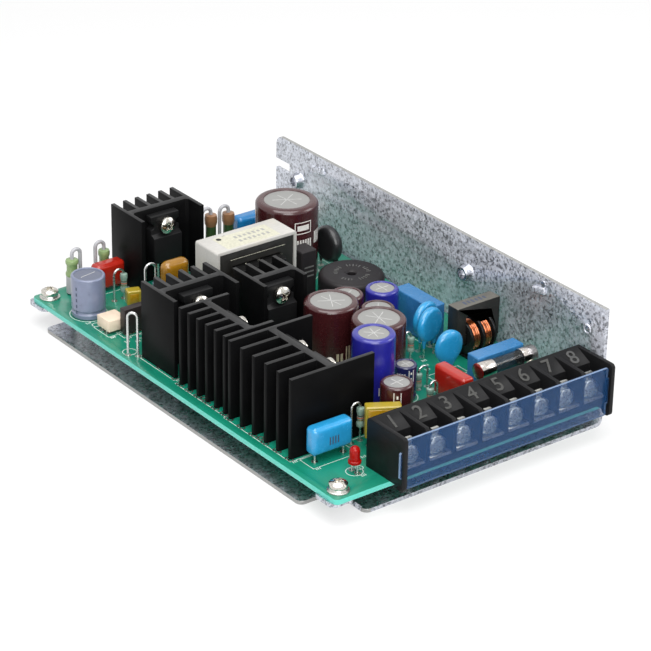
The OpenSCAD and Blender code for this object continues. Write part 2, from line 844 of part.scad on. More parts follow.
filter_bar = 3.4;
filter_frame_h = 12.6;
filter_frame_low = filter_h - filter_frame_h;
filter_axis_z = filter_frame_low + filter_bar / 2;
filter_flange_t = 0.8;
filter_flange_reach = 4.4;
filter_flanges = [-filter_flange_reach, 0, filter_flange_reach];

module filter_core() {
    color([0.33, 0.32, 0.3]) on_board(filter_at) translate([-filter_w / 2, -filter_d / 2, filter_frame_low])
        along_y(filter_d) difference() {
            round_rect([filter_w, filter_frame_h], 0.3);
            translate([filter_bar, filter_bar])
                square([filter_w - 2 * filter_bar, filter_frame_h - 2 * filter_bar]);
        }
}

module filter_bobbin() {
    bore = [filter_d + 2 * seat, filter_bar + 2 * seat];
    tube = [filter_d + 2 * seat + 1.6, filter_bar + 2 * seat + 1.6];
    length = filter_flanges[2] - filter_flanges[0];
    color([0.1, 0.1, 0.1]) on_board(filter_at) translate([0, 0, filter_axis_z]) difference() {
        union() {
            for (x = filter_flanges) translate([x - filter_flange_t / 2, 0, 0])
                rotate([0, 90, 0]) cylinder(h = filter_flange_t, r = filter_flange_d / 2);
            translate([-length / 2, -tube[0] / 2, -tube[1] / 2]) cube([length, tube[0], tube[1]]);
            for (x = [filter_flanges[0], filter_flanges[2]])
                translate([x - filter_flange_t, -filter_flange_d / 2, -filter_axis_z])
                    cube([2 * filter_flange_t, filter_flange_d, filter_axis_z - filter_flange_d / 2 + 0.4]);
        }
        translate([-filter_w, -bore[0] / 2, -bore[1] / 2]) cube([2 * filter_w, bore[0], bore[1]]);
    }
}

module filter_winding() {
    tube = [filter_d + 2 * seat + 1.6, filter_bar + 2 * seat + 1.6];
    span = filter_flanges[1] - filter_flanges[0] - filter_flange_t - 2 * seat;
    turns = 3;
    wire_r = span / turns / 2;
    color([0.72, 0.36, 0.18]) on_board(filter_at) translate([0, 0, filter_axis_z]) for (s = [-1, 0]) {
        start = filter_flanges[s + 1] + filter_flange_t / 2 + seat;
        difference() {
            for (i = [0:turns - 1]) translate([start + wire_r * (2 * i + 1), 0, 0]) rotate([0, 90, 0])
                rotate_extrude() {
                    translate([filter_flange_d / 2 - 0.5 - wire_r, 0]) circle(wire_r + 0.03);
                    translate([2, -wire_r]) square([filter_flange_d / 2 - 2.5 - wire_r, 2 * wire_r]);
                }
            translate([start - 1, -tube[0] / 2 - 0.1, -tube[1] / 2 - 0.1])
                cube([span + 2, tube[0] + 0.2, tube[1] + 0.2]);
        }
    }
}

// ---------------------------------------------------------------- box capacitors and fuse

module rear_line_capacitor() {
    color([0.25, 0.5, 0.75]) on_board(rear_box_at) soft_box([rear_box_w, box_l, rear_box_h], 0.5);
}

module front_line_capacitor() {
    color([0.3, 0.55, 0.8]) on_board(front_box_at) soft_box([box_l, front_box_w, front_box_h], 0.5);
}

fuse_cap_l = 5.2;

module fuse_glass() {
    color([0.8, 0.85, 0.85, 0.4]) on_board(fuse_at) translate([0, 0, fuse_axis_h]) rotate([0, 90, 0]) {
        inner = fuse_d / 2 - 0.7;
        difference() {
            cylinder(h = fuse_l - 2.6, r = fuse_d / 2 - 0.3, center = true);
            cylinder(h = fuse_l, r = inner, center = true);
        }
    }
}

// End caps with their wires down to the board, and the melting wire between them
module fuse_holder() {
    color("gainsboro") on_board(fuse_at) {
        for (s = [-1, 1]) {
            translate([s * (fuse_l / 2 - fuse_cap_l / 2), 0, fuse_axis_h]) rotate([0, 90, 0]) difference() {
                cylinder(h = fuse_cap_l, r = fuse_d / 2, center = true);
                translate([0, 0, s > 0 ? -0.8 : 0.8])
                    cylinder(h = fuse_cap_l - 0.8, r = fuse_d / 2 - 0.3, center = true);
            }
            translate([s * (fuse_l / 2 - 1.4), 0, 0]) cylinder(h = fuse_axis_h - fuse_d / 2 + 0.2, r = 0.5);
        }
        translate([0, 0, fuse_axis_h]) rotate([0, 90, 0])
            cylinder(h = fuse_l - 1, r = 0.15, center = true);
    }
}

// Small dark box capacitor between the transformer and the reservoir
module dark_box_capacitor() {
    color([0.2, 0.19, 0.22]) on_board(dark_box_at) soft_box(dark_box_size, 0.5);
}

// ---------------------------------------------------------------- discs

// Coated disc on two leads, facing -Y
module coated_disc(d, t, lift, pitch, tint) {
    color(tint) translate([0, 0, lift + d / 2]) rotate([90, 0, 0]) {
        rotate_extrude() {
            square([d / 2 - t / 2, t], center = false);
            translate([d / 2 - t / 2, t / 2]) circle(t / 2);
        }
    }
    color("silver") for (x = [-pitch / 2, pitch / 2]) lead(x, -t / 2, lift + d * 0.16);
}

module disc_capacitors() {
    for (at = disc_places) on_board(at)
        coated_disc(11, 2.6, 4.7, 5, [0.3, 0.72, 0.85]);
}

module varistor() {
    on_board(varistor_at) {
        coated_disc(10.2, 3.4, 4.2, 5, [0.27, 0.7, 0.86]);
        color([0.27, 0.7, 0.86]) translate([0, -0.1, 0]) rotate([90, 0, 0])
            linear_extrude(3.2) polygon([[-4.1, 6.4], [-0.9, 2.2], [0.9, 2.2], [4.1, 6.4]]);
    }
}

module thermistor() {
    on_board(thermistor_at) rotate(90) coated_disc(12, 3.8, 3, 7.5, [0.14, 0.15, 0.15]);
}

// ---------------------------------------------------------------- film capacitors

// Dipped film capacitor standing on two leads
module film_capacitor(size, lift, pitch, tint, r = 1.6) {
    color(tint) translate([0, 0, lift]) soft_box(size, r);
    color("silver") for (x = [-pitch / 2, pitch / 2]) lead(x, 0, lift + r);
}

module sky_film_capacitor() {
    on_board(sky_film_at) film_capacitor([14, 4.8, 8.6], 2.6, 10, [0.3, 0.66, 0.88]);
}

module rear_red_capacitor() {
    on_board(rear_red_at) film_capacitor([10.6, 5, 8.4], 0.8, 7.5, [0.7, 0.2, 0.1]);
}

module front_red_capacitor() {
    on_board(front_red_at) rotate(90) film_capacitor([13.6, 4.6, 9.4], 0.8, 10, [0.78, 0.22, 0.12], 1.2);
}

module rear_blue_capacitor() {
    on_board(rear_blue_at) film_capacitor([10.4, 5, 12.8], 1.1, 7.5, [0.2, 0.45, 0.7]);
}

module yellow_capacitors() {
    on_board(front_yellow_at) rotate(-31) film_capacitor([10.4, 3.6, 10], 3, 7.5, [0.85, 0.75, 0.15], 0.8);
    on_board(small_yellow_at) rotate(-20) film_capacitor([4.6, 3.6, 5], 1.6, 2.5, [0.85, 0.8, 0.25], 1);
}

module amber_capacitor() {
    on_board(amber_at) film_capacitor([9.6, 5, 6.4], 4.6, 7.5, [0.8, 0.6, 0.15], 2.2);
}

// ---------------------------------------------------------------- chips and lamp

// Moulded body on two rows of legs
module dual_row(size, legs, lift, tint) {
    color(tint) translate([-size[0] / 2, -size[1] / 2, lift]) cube([size[0], size[1], size[2]]);
    color("silver") for (i = [0:legs / 2 - 1], s = [-1, 1])
        translate([s * (size[0] / 2 - 0.5) - 0.25, (i - (legs / 2 - 1) / 2) * 2.54 - 0.3, 0])
            cube([0.5, 0.6, lift + eps]);
}

module optocoupler() {
    on_board(opto_at) dual_row([6.4, 6.6, 3.5], 4, 1, [0.93, 0.87, 0.78]);
}

// Upright moulded controller on one row of legs
module control_chip() {
    on_board(chip_at) {
        color([0.2, 0.17, 0.17]) translate([-7.9, -1.3, 0.7]) cube([15.8, 2.6, 8]);
        color("silver") for (i = [-3.5:3.5]) translate([i * 1.9 - 0.3, -0.2, 0]) cube([0.6, 0.4, 0.7]);
    }
}

module indicator_led() {
    on_board(led_at) {
        color([0.8, 0.08, 0.08]) translate([0, 0, 2.8]) {
            rotate_extrude() intersection() {
                union() {
                    square([1.9, 0.9]);
                    square([1.5, 3.8]);
                    translate([0, 3.8]) circle(1.5);
                }
                square([3, 6]);
            }
        }
        color("silver") for (y = [-1.27, 1.27]) lead(0, y, 3, 0.28);
    }
}

// ---------------------------------------------------------------- resistors and links

// Resistor standing on end: body over its foot, top lead looped down beside it
module standing_resistor(body_d, body_l, lift, span, loop, tint) {
    color(tint) translate([0, 0, lift]) rotate_extrude() {
        square([body_d * 0.42, body_l]);
        translate([0, 0.3]) square([body_d / 2, body_l * 0.24]);
        translate([0, body_l * 0.76 - 0.3]) square([body_d / 2, body_l * 0.24]);
    }
    color("silver") {
        cylinder(h = lift, r = lead_r);
        translate([span, 0, 0]) mirror([1, 0, 0]) hairpin(span, lift + body_l + loop, lift + body_l);
    }
}

power_resistor_d = 4.2;
power_resistor_l = 12;
power_resistor_at = [58.4, 142.3];
power_resistor_pitch = 6.8;
sleeved_d = 4.2;
sleeved_l = 6;
sleeved_at = [11.4, 150.4];
sleeved_back_d = 3.8;
sleeved_back_l = 7.6;
sleeved_back_at = [24.8, 152.9];
small_resistor_d = 2.4;

module power_resistors() {
    tint = [0.33, 0.45, 0.2];
    on_board(power_resistor_at) {
        standing_resistor(power_resistor_d, power_resistor_l, 5.9, -3.4, 2.6, tint);
        translate([power_resistor_pitch, 0, 0])
            standing_resistor(power_resistor_d, power_resistor_l, 4.9, -3.4, 2.8, tint);
    }
}

module sleeved_resistors() {
    on_board(sleeved_at) standing_resistor(sleeved_d, sleeved_l, 5.9, 3, 3.2, [0.66, 0.76, 0.5]);
    on_board(sleeved_back_at)
        standing_resistor(sleeved_back_d, sleeved_back_l, 3.1, -3.2, 3.2, [0.6, 0.72, 0.45]);
}

// Places as [x, y, loop span, lift, body length]
small_places = [
    [26.2, 23.3, -3.2, 4.4, 6.2], [22.6, 138.3, -3.6, 2.2, 6.4], [58.9, 37.6, 3.4, 0.8, 4.6],
    [69, 53.8, -2.4, 2.7, 5], [56, 28.6, 2.6, 0.9, 4.4]
];

module small_resistors() {
    for (p = small_places)
        on_board([p[0], p[1]]) standing_resistor(small_resistor_d, p[4], p[3], p[2], 1.8, [0.62, 0.72, 0.66]);
}

module wire_links() {
    color("silver") {
        on_board([2.1, 105.1]) rotate(-47.7) hairpin(3, 14.2, 0, link_r);
        on_board([20.2, 122.6]) hairpin(3.8, 18, 11, link_r);
    }
    color([0.6, 0.8, 0.85]) on_board([24, 122.6]) cylinder(h = 11, r = 1);
}

// ---------------------------------------------------------------- nodes

chassis();
circuit_board();
board_screws();
board_washers();
terminal_housing();
terminal_cover();
terminal_screws();
terminal_clamps();
rear_heatsink();
left_heatsink();
middle_heatsink();
small_comb_heatsink();
large_comb_heatsink();
rear_transistor();
left_transistor();
middle_transistor();
small_rectifier();
large_rectifier();
heatsink_screws();
transformer_core();
transformer_bobbin();
transformer_winding();
transformer_cover();
bulk_capacitor();
output_capacitor_rear();
output_capacitor_front();
blue_capacitor_front();
blue_capacitor_rear();
brown_capacitor_rear();
brown_capacitor_middle();
small_capacitor_front();
mini_capacitor();
grey_capacitor();
ring_choke();
dark_box_capacitor();
filter_core();
filter_bobbin();
filter_winding();
rear_line_capacitor();
front_line_capacitor();
fuse_glass();
fuse_holder();
disc_capacitors();
varistor();
thermistor();
sky_film_capacitor();
rear_red_capacitor();
front_red_capacitor();
rear_blue_capacitor();
yellow_capacitors();
amber_capacitor();
optocoupler();
control_chip();
indicator_led();
power_resistors();
sleeved_resistors();
small_resistors();
wire_links();
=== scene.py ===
"""Open frame power supply: finishes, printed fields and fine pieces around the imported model."""

import json
import math
import random

import bmesh
import bpy
from mathutils import Matrix, Vector


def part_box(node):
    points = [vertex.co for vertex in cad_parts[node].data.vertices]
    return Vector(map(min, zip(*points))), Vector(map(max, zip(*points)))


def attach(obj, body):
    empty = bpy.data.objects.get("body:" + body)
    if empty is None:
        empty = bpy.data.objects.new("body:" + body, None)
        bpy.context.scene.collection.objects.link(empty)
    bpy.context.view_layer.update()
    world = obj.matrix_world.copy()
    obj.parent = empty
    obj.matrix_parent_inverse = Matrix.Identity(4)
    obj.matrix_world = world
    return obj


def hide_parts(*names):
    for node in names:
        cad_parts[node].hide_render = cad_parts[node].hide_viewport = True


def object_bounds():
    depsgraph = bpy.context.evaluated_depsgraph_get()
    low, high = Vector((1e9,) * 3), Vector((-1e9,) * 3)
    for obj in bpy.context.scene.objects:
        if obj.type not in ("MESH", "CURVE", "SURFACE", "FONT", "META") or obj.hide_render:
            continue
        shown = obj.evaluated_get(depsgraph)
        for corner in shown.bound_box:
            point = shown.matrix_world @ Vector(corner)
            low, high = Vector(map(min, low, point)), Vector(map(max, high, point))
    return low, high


bl_info = {
    "name": "Open Frame Power Supply",
    "version": (1, 0, 0),
    "blender": (4, 5, 0),
    "location": "View3D > Sidebar > Supply",
    "description": "Dresses an open frame switching power supply with its finishes and fine pieces",
    "category": "Object",
}

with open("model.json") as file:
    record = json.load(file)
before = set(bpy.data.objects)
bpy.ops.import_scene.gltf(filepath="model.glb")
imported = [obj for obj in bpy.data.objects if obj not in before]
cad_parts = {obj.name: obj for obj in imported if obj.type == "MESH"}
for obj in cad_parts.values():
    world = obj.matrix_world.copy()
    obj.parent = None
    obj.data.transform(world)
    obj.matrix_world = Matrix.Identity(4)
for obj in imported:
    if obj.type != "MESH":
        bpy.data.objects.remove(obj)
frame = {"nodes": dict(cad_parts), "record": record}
cad_low, cad_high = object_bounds()

MM = 0.001
FULL_TURN = 2 * math.pi
SEED = 11
PRINT_LIFT = 0.03 * MM
FRAME_LINE = 0.3 * MM
CAMERA_AZIMUTH = math.radians(-37.663)
CAMERA_ELEVATION = math.radians(26.498)
CAMERA_ROLL = math.radians(1.016)
CAMERA_SENSOR = 36.0
CAMERA_LENS = 150.49
CAMERA_DISTANCE = 0.809
CAMERA_AIM = Vector((-0.99, -12.68, 20.04)) * MM
FACING = CAMERA_AZIMUTH - math.pi / 2
WHITE = (1.0, 1.0, 1.0, 1.0)
SEEING_RAYS = ("Is Camera Ray", "Is Glossy Ray", "Is Transmission Ray")


# ---------------------------------------------------------------- shader building


class Value:
    """A shader socket that takes part in arithmetic by adding Math nodes."""

    def __init__(self, tree, socket):
        self.tree = tree
        self.socket = socket

    def math(self, operation, *values):
        """A Math node that works on values."""
        return self.tree.node("ShaderNodeMath", {"operation": operation}, dict(enumerate(values)))

    def __add__(self, other):
        return self.math("ADD", self, other)

    def __radd__(self, other):
        return self.math("ADD", other, self)

    def __sub__(self, other):
        return self.math("SUBTRACT", self, other)

    def __rsub__(self, other):
        return self.math("SUBTRACT", other, self)

    def __mul__(self, other):
        return self.math("MULTIPLY", self, other)

    def __rmul__(self, other):
        return self.math("MULTIPLY", other, self)

    def __gt__(self, other):
        return self.math("GREATER_THAN", self, other)

    def __abs__(self):
        return self.math("ABSOLUTE", self)

    def span(self, low, high, to_low=0.0, to_high=1.0):
        """This value's range low to high, mapped and clamped to another range."""
        return self.tree.node(
            "ShaderNodeMapRange", {"clamp": True}, {0: self, 1: low, 2: high, 3: to_low, 4: to_high}
        )


UNIFORM_SOCKETS = {
    "coat_weight": "Coat Weight",
    "coat_roughness": "Coat Roughness",
    "specular": "Specular IOR Level",
    "alpha": "Alpha",
}


class Tree:
    """A node tree, and the one method that adds a node to it."""

    def __init__(self, tree):
        self.nodes = tree.nodes
        self.links = tree.links

    def fill(self, socket, value):
        """Links a value to a socket, or sets the socket's own number or colour."""
        if isinstance(value, Value):
            self.links.new(value.socket, socket)
        elif hasattr(socket.default_value, "__len__") and not isinstance(value, (int, float)):
            size = len(socket.default_value)
            socket.default_value = (tuple(value) + (1.0,) * size)[:size]
        else:
            socket.default_value = value

    def node(self, kind, settings=None, inputs=None, output=0):
        """Adds a node: its settings first, then its sockets' values or links."""
        made = self.nodes.new(kind)
        for key, value in (settings or {}).items():
            setattr(made, key, value)
        for key, value in (inputs or {}).items():
            self.fill(made.inputs[key], value)
        return Value(self, made.outputs[output])

    def whitened(self, shader, kind, target, share=1.0):
        """Shows white in place of a shader to rays that look, and leaves it to rays that light."""
        white = self.node(kind, inputs={"Color": WHITE, "Strength": 1.0})
        rays = [self.node("ShaderNodeLightPath", output=name) for name in SEEING_RAYS]
        seen = rays[0] + rays[1] + rays[2]
        if share != 1.0:
            seen = seen * share
        mixed = self.node("ShaderNodeMixShader", inputs={0: seen, 1: Value(self, shader.outputs[0]), 2: white})
        self.fill(self.nodes[target].inputs["Surface"], mixed)


class Finish(Tree):
    """One material: a Principled shader, and the nodes that feed it."""

    def __init__(self, name, colour, roughness=0.5, metallic=0.0, **uniform):
        self.material = bpy.data.materials.new(name)
        self.material.use_nodes = True
        super().__init__(self.material.node_tree)
        self.shader = self.nodes["Principled BSDF"]
        self.put("Base Color", colour)
        self.put("Roughness", roughness)
        self.put("Metallic", metallic)
        for socket, value in uniform.items():
            self.put(UNIFORM_SOCKETS[socket], value)
        self.material.diffuse_color = (*colour[:3], 1.0)

    def put(self, name, value):
        """Sets one of the shader's own sockets, or links a value to it."""
        self.fill(self.shader.inputs[name], value)

    def place(self, scale=(1.0, 1.0, 1.0)):
        """Coordinates in the part's frame, stretched along each axis."""
        coordinates = self.node("ShaderNodeTexCoord", output="Object")
        return self.node("ShaderNodeVectorMath", {"operation": "MULTIPLY"}, {0: coordinates, 1: scale})

    def axis(self, name):
        """One coordinate of the part's frame, in metres."""
        return self.node("ShaderNodeSeparateXYZ", inputs={0: self.place()}, output=name)

    def noise(self, size, detail=3.0, scale=(1.0, 1.0, 1.0), roughness=0.5):
        """Noise with features of about one size, in metres."""
        return self.node(
            "ShaderNodeTexNoise",
            {"noise_dimensions": "3D"},
            {"Vector": self.place(scale), "Scale": 1.0 / size, "Detail": detail, "Roughness": roughness},
        )

    def cells(self, size, output="Distance", scale=(1.0, 1.0, 1.0)):
        """Voronoi cells of about one size, in metres."""
        return self.node(
            "ShaderNodeTexVoronoi", {}, {"Vector": self.place(scale), "Scale": 1.0 / size}, output
        )

    def mix(self, factor, first, second):
        """A colour between two colours."""
        return self.node(
            "ShaderNodeMix", {"data_type": "RGBA"}, {"Factor": factor, 6: first, 7: second}, output=2
        )

    def bump(self, height, strength, distance=0.1 * MM):
        """Feeds the shader's normal with a height field."""
        self.put(
            "Normal",
            self.node("ShaderNodeBump", {}, {"Strength": strength, "Distance": distance, "Height": height}),
        )

    def facing_up(self):
        """How far the surface's normal points up or down, 0 to 1."""
        normal = self.node("ShaderNodeNewGeometry", output="Normal")
        return abs(self.node("ShaderNodeSeparateXYZ", inputs={0: normal}, output="Z"))


def shade(colour, factor):
    """A colour made darker or lighter by a factor."""
    return tuple(min(1.0, c * factor) for c in colour[:3])


def moulded(name, colour, roughness=0.42, grain=0.35 * MM, depth=0.18, **uniform):
    """Moulded plastic or resin: slight mottling, uneven gloss and a fine surface grain."""
    made = Finish(name, colour, roughness, **uniform)
    cloud = made.noise(6 * MM, 2.0)
    grit = made.noise(grain, 2.0)
    made.put("Base Color", made.mix(cloud, shade(colour, 0.86), shade(colour, 1.12)))
    made.put("Roughness", cloud.span(0.3, 0.7, roughness - 0.06, roughness + 0.06))
    made.bump(grit, depth, 0.05 * MM)
    return made.material


def lacquered(name, colour, roughness=0.16, mottle=2.2 * MM):
    """Dipped or sleeved gloss coating, a little uneven in depth and thickness."""
    made = Finish(name, colour, roughness, coat_weight=0.35, coat_roughness=0.06)
    swell = made.noise(mottle, 2.0)
    dust = made.noise(0.3 * MM, 2.0)
    made.put("Base Color", made.mix(swell.span(0.3, 0.7), shade(colour, 0.93), shade(colour, 1.06)))
    made.put("Roughness", (swell * 0.6 + dust * 0.4).span(0.3, 0.7, roughness, roughness + 0.1))
    made.bump(swell, 0.05, 0.2 * MM)
    return made.material


def plated(name, colour, roughness=0.22, streak=(1.0, 1.0, 1.0), size=0.5 * MM):
    """Plated or bare metal with faint wear and uneven polish."""
    made = Finish(name, colour, roughness, 1.0)
    wear = made.noise(size, 3.0, streak)
    made.put("Base Color", made.mix(wear.span(0.35, 0.7), shade(colour, 0.72), colour))
    made.put("Roughness", wear.span(0.3, 0.7, roughness * 0.7, roughness * 1.5))
    made.bump(wear, 0.1, 0.04 * MM)
    return made.material


def spangled_sheet(name, colour, gleam=0.0):
    """Galvanised sheet: pale ground with small dark flakes that catch the light differently."""
    made = Finish(name, colour, 0.4, 0.4)
    flake = made.noise(0.95 * MM, 3.0, roughness=0.65).span(0.5, 0.6)
    bright = made.noise(1.5 * MM, 3.0, roughness=0.6).span(0.5, 0.64)
    patch = made.noise(13 * MM, 2.0).span(0.35, 0.65)
    tone = made.node("ShaderNodeSeparateColor", inputs={0: made.cells(1.3 * MM, "Color")}, output=0)
    pale = made.mix(tone, shade(colour, 0.9), shade(colour, 1.12))
    pale = made.mix(bright * 0.6, pale, shade(colour, 1.4))
    dark = made.mix(tone, shade(colour, 0.2), shade(colour, 0.42))
    made.put("Base Color", made.mix(flake * patch.span(0.0, 1.0, 0.6, 0.9), pale, dark))
    made.put("Roughness", tone.span(0.0, 1.0, 0.26, 0.46 - 0.14 * gleam))
    made.put("Metallic", flake.span(0.0, 1.0, 0.36 + 0.56 * gleam, 0.66 + 0.3 * gleam))
    made.bump(flake, 0.06, 0.05 * MM)
    return made.material


def solder_mask(name, colour, edge_colour):
    """Board laminate under solder mask, with tracks faintly showing and paler cut edges."""
    made = Finish(name, colour, 0.3, coat_weight=0.25, coat_roughness=0.2)
    track = made.cells(9 * MM, scale=(1.0, 0.45, 1.0)).span(0.42, 0.46)
    cloud = made.noise(14 * MM, 3.0)
    weave = made.noise(0.45 * MM, 1.0)
    face = made.mix(track * 0.35 + cloud * 0.3, colour, shade(colour, 0.7))
    face = made.mix(weave.span(0.3, 0.8) * 0.12, face, shade(colour, 1.5))
    made.put("Base Color", made.mix(made.facing_up() > 0.7, edge_colour, face))
    made.put("Roughness", cloud.span(0.3, 0.7, 0.24, 0.4))
    made.bump(weave, 0.08, 0.04 * MM)
    return made.material


def anodised(name, colour, roughness=0.36, specular=0.05):
    """Black anodised extrusion: fine lines along its height and uneven satin gloss."""
    made = Finish(name, colour, roughness, 0.0, specular=specular)
    lines = made.noise(0.35 * MM, 2.0, (1.0, 1.0, 0.02))
    bloom = made.noise(7 * MM, 3.0)
    made.put("Base Color", made.mix(bloom, shade(colour, 0.75), shade(colour, 1.7)))
    made.put("Roughness", (lines * 0.16 + bloom * 0.16).span(0.0, 0.32, 0.3, 0.5))
    made.bump(lines, 0.16, 0.05 * MM)
    return made.material


def sintered(name, colour):
    """Ferrite: dark and matt, with tiny bright pores."""
    made = Finish(name, colour, 0.55)
    pores = made.cells(0.6 * MM).span(0.05, 0.2)
    cloud = made.noise(3 * MM, 3.0)
    body = made.mix(cloud, shade(colour, 0.75), shade(colour, 1.25))
    made.put("Base Color", made.mix(pores, shade(colour, 1.8), body))
    made.put("Roughness", cloud.span(0.3, 0.7, 0.42, 0.65))
    made.bump(pores, 0.15, 0.05 * MM)
    return made.material


def clear(name, colour, alpha, roughness=0.08, rim=0.1, specular=0.5):
    """Clear plastic or glass that lets its inside show, denser where it is seen edge on."""
    made = Finish(name, colour, roughness, alpha=alpha, specular=specular)
    smear = made.noise(5 * MM, 2.0)
    turned = made.node("ShaderNodeLayerWeight", inputs={0: 0.35}, output="Facing")
    made.put("Roughness", smear.span(0.3, 0.7, roughness * 0.6, roughness * 2.0))
    made.put("Alpha", turned.span(0.25, 0.95, alpha, min(1.0, alpha + rim)))
    return made.material


def enamelled_wire(name, colour):
    """Copper wire under clear enamel, darker in places where the varnish has run."""
    made = Finish(name, colour, 0.24, 0.85, coat_weight=0.6, coat_roughness=0.1)
    varnish = made.noise(1.6 * MM, 2.0).span(0.35, 0.65)
    made.put("Base Color", made.mix(varnish, shade(colour, 0.45), colour))
    made.put("Roughness", varnish.span(0.0, 1.0, 0.15, 0.35))
    return made.material


# ---------------------------------------------------------------- finishes of the part


def printed(name, colour):
    """Screen print: matt ink with a slightly broken edge."""
    made = Finish(name, colour, 0.6)
    wear = made.noise(0.7 * MM, 3.0)
    made.put("Base Color", made.mix(wear.span(0.3, 0.75), colour, shade(colour, 0.8)))
    return made.material


def crimped_top(name, colour):
    """Brushed aluminium of a capacitor's top, with fine scratches."""
    made = Finish(name, colour, 0.5, 0.25)
    scratch = made.noise(0.5 * MM, 3.0, (1.0, 0.12, 1.0))
    made.put("Base Color", made.mix(scratch, shade(colour, 0.88), shade(colour, 1.08)))
    made.put("Roughness", scratch.span(0.3, 0.7, 0.34, 0.55))
    made.bump(scratch, 0.08, 0.04 * MM)
    return made.material


def insulating_card(name, colour):
    """Ivory pressboard with pale fibres and slightly browned patches."""
    made = Finish(name, colour, 0.62)
    fibre = made.noise(0.5 * MM, 3.0, (0.25, 1.0, 1.0))
    age = made.noise(12 * MM, 2.0)
    paper = made.mix(fibre.span(0.3, 0.7), shade(colour, 0.93), shade(colour, 1.04))
    made.put("Base Color", made.mix(age.span(0.5, 0.8) * 0.3, paper, (0.66, 0.6, 0.44)))
    made.bump(fibre, 0.12, 0.05 * MM)
    return made.material


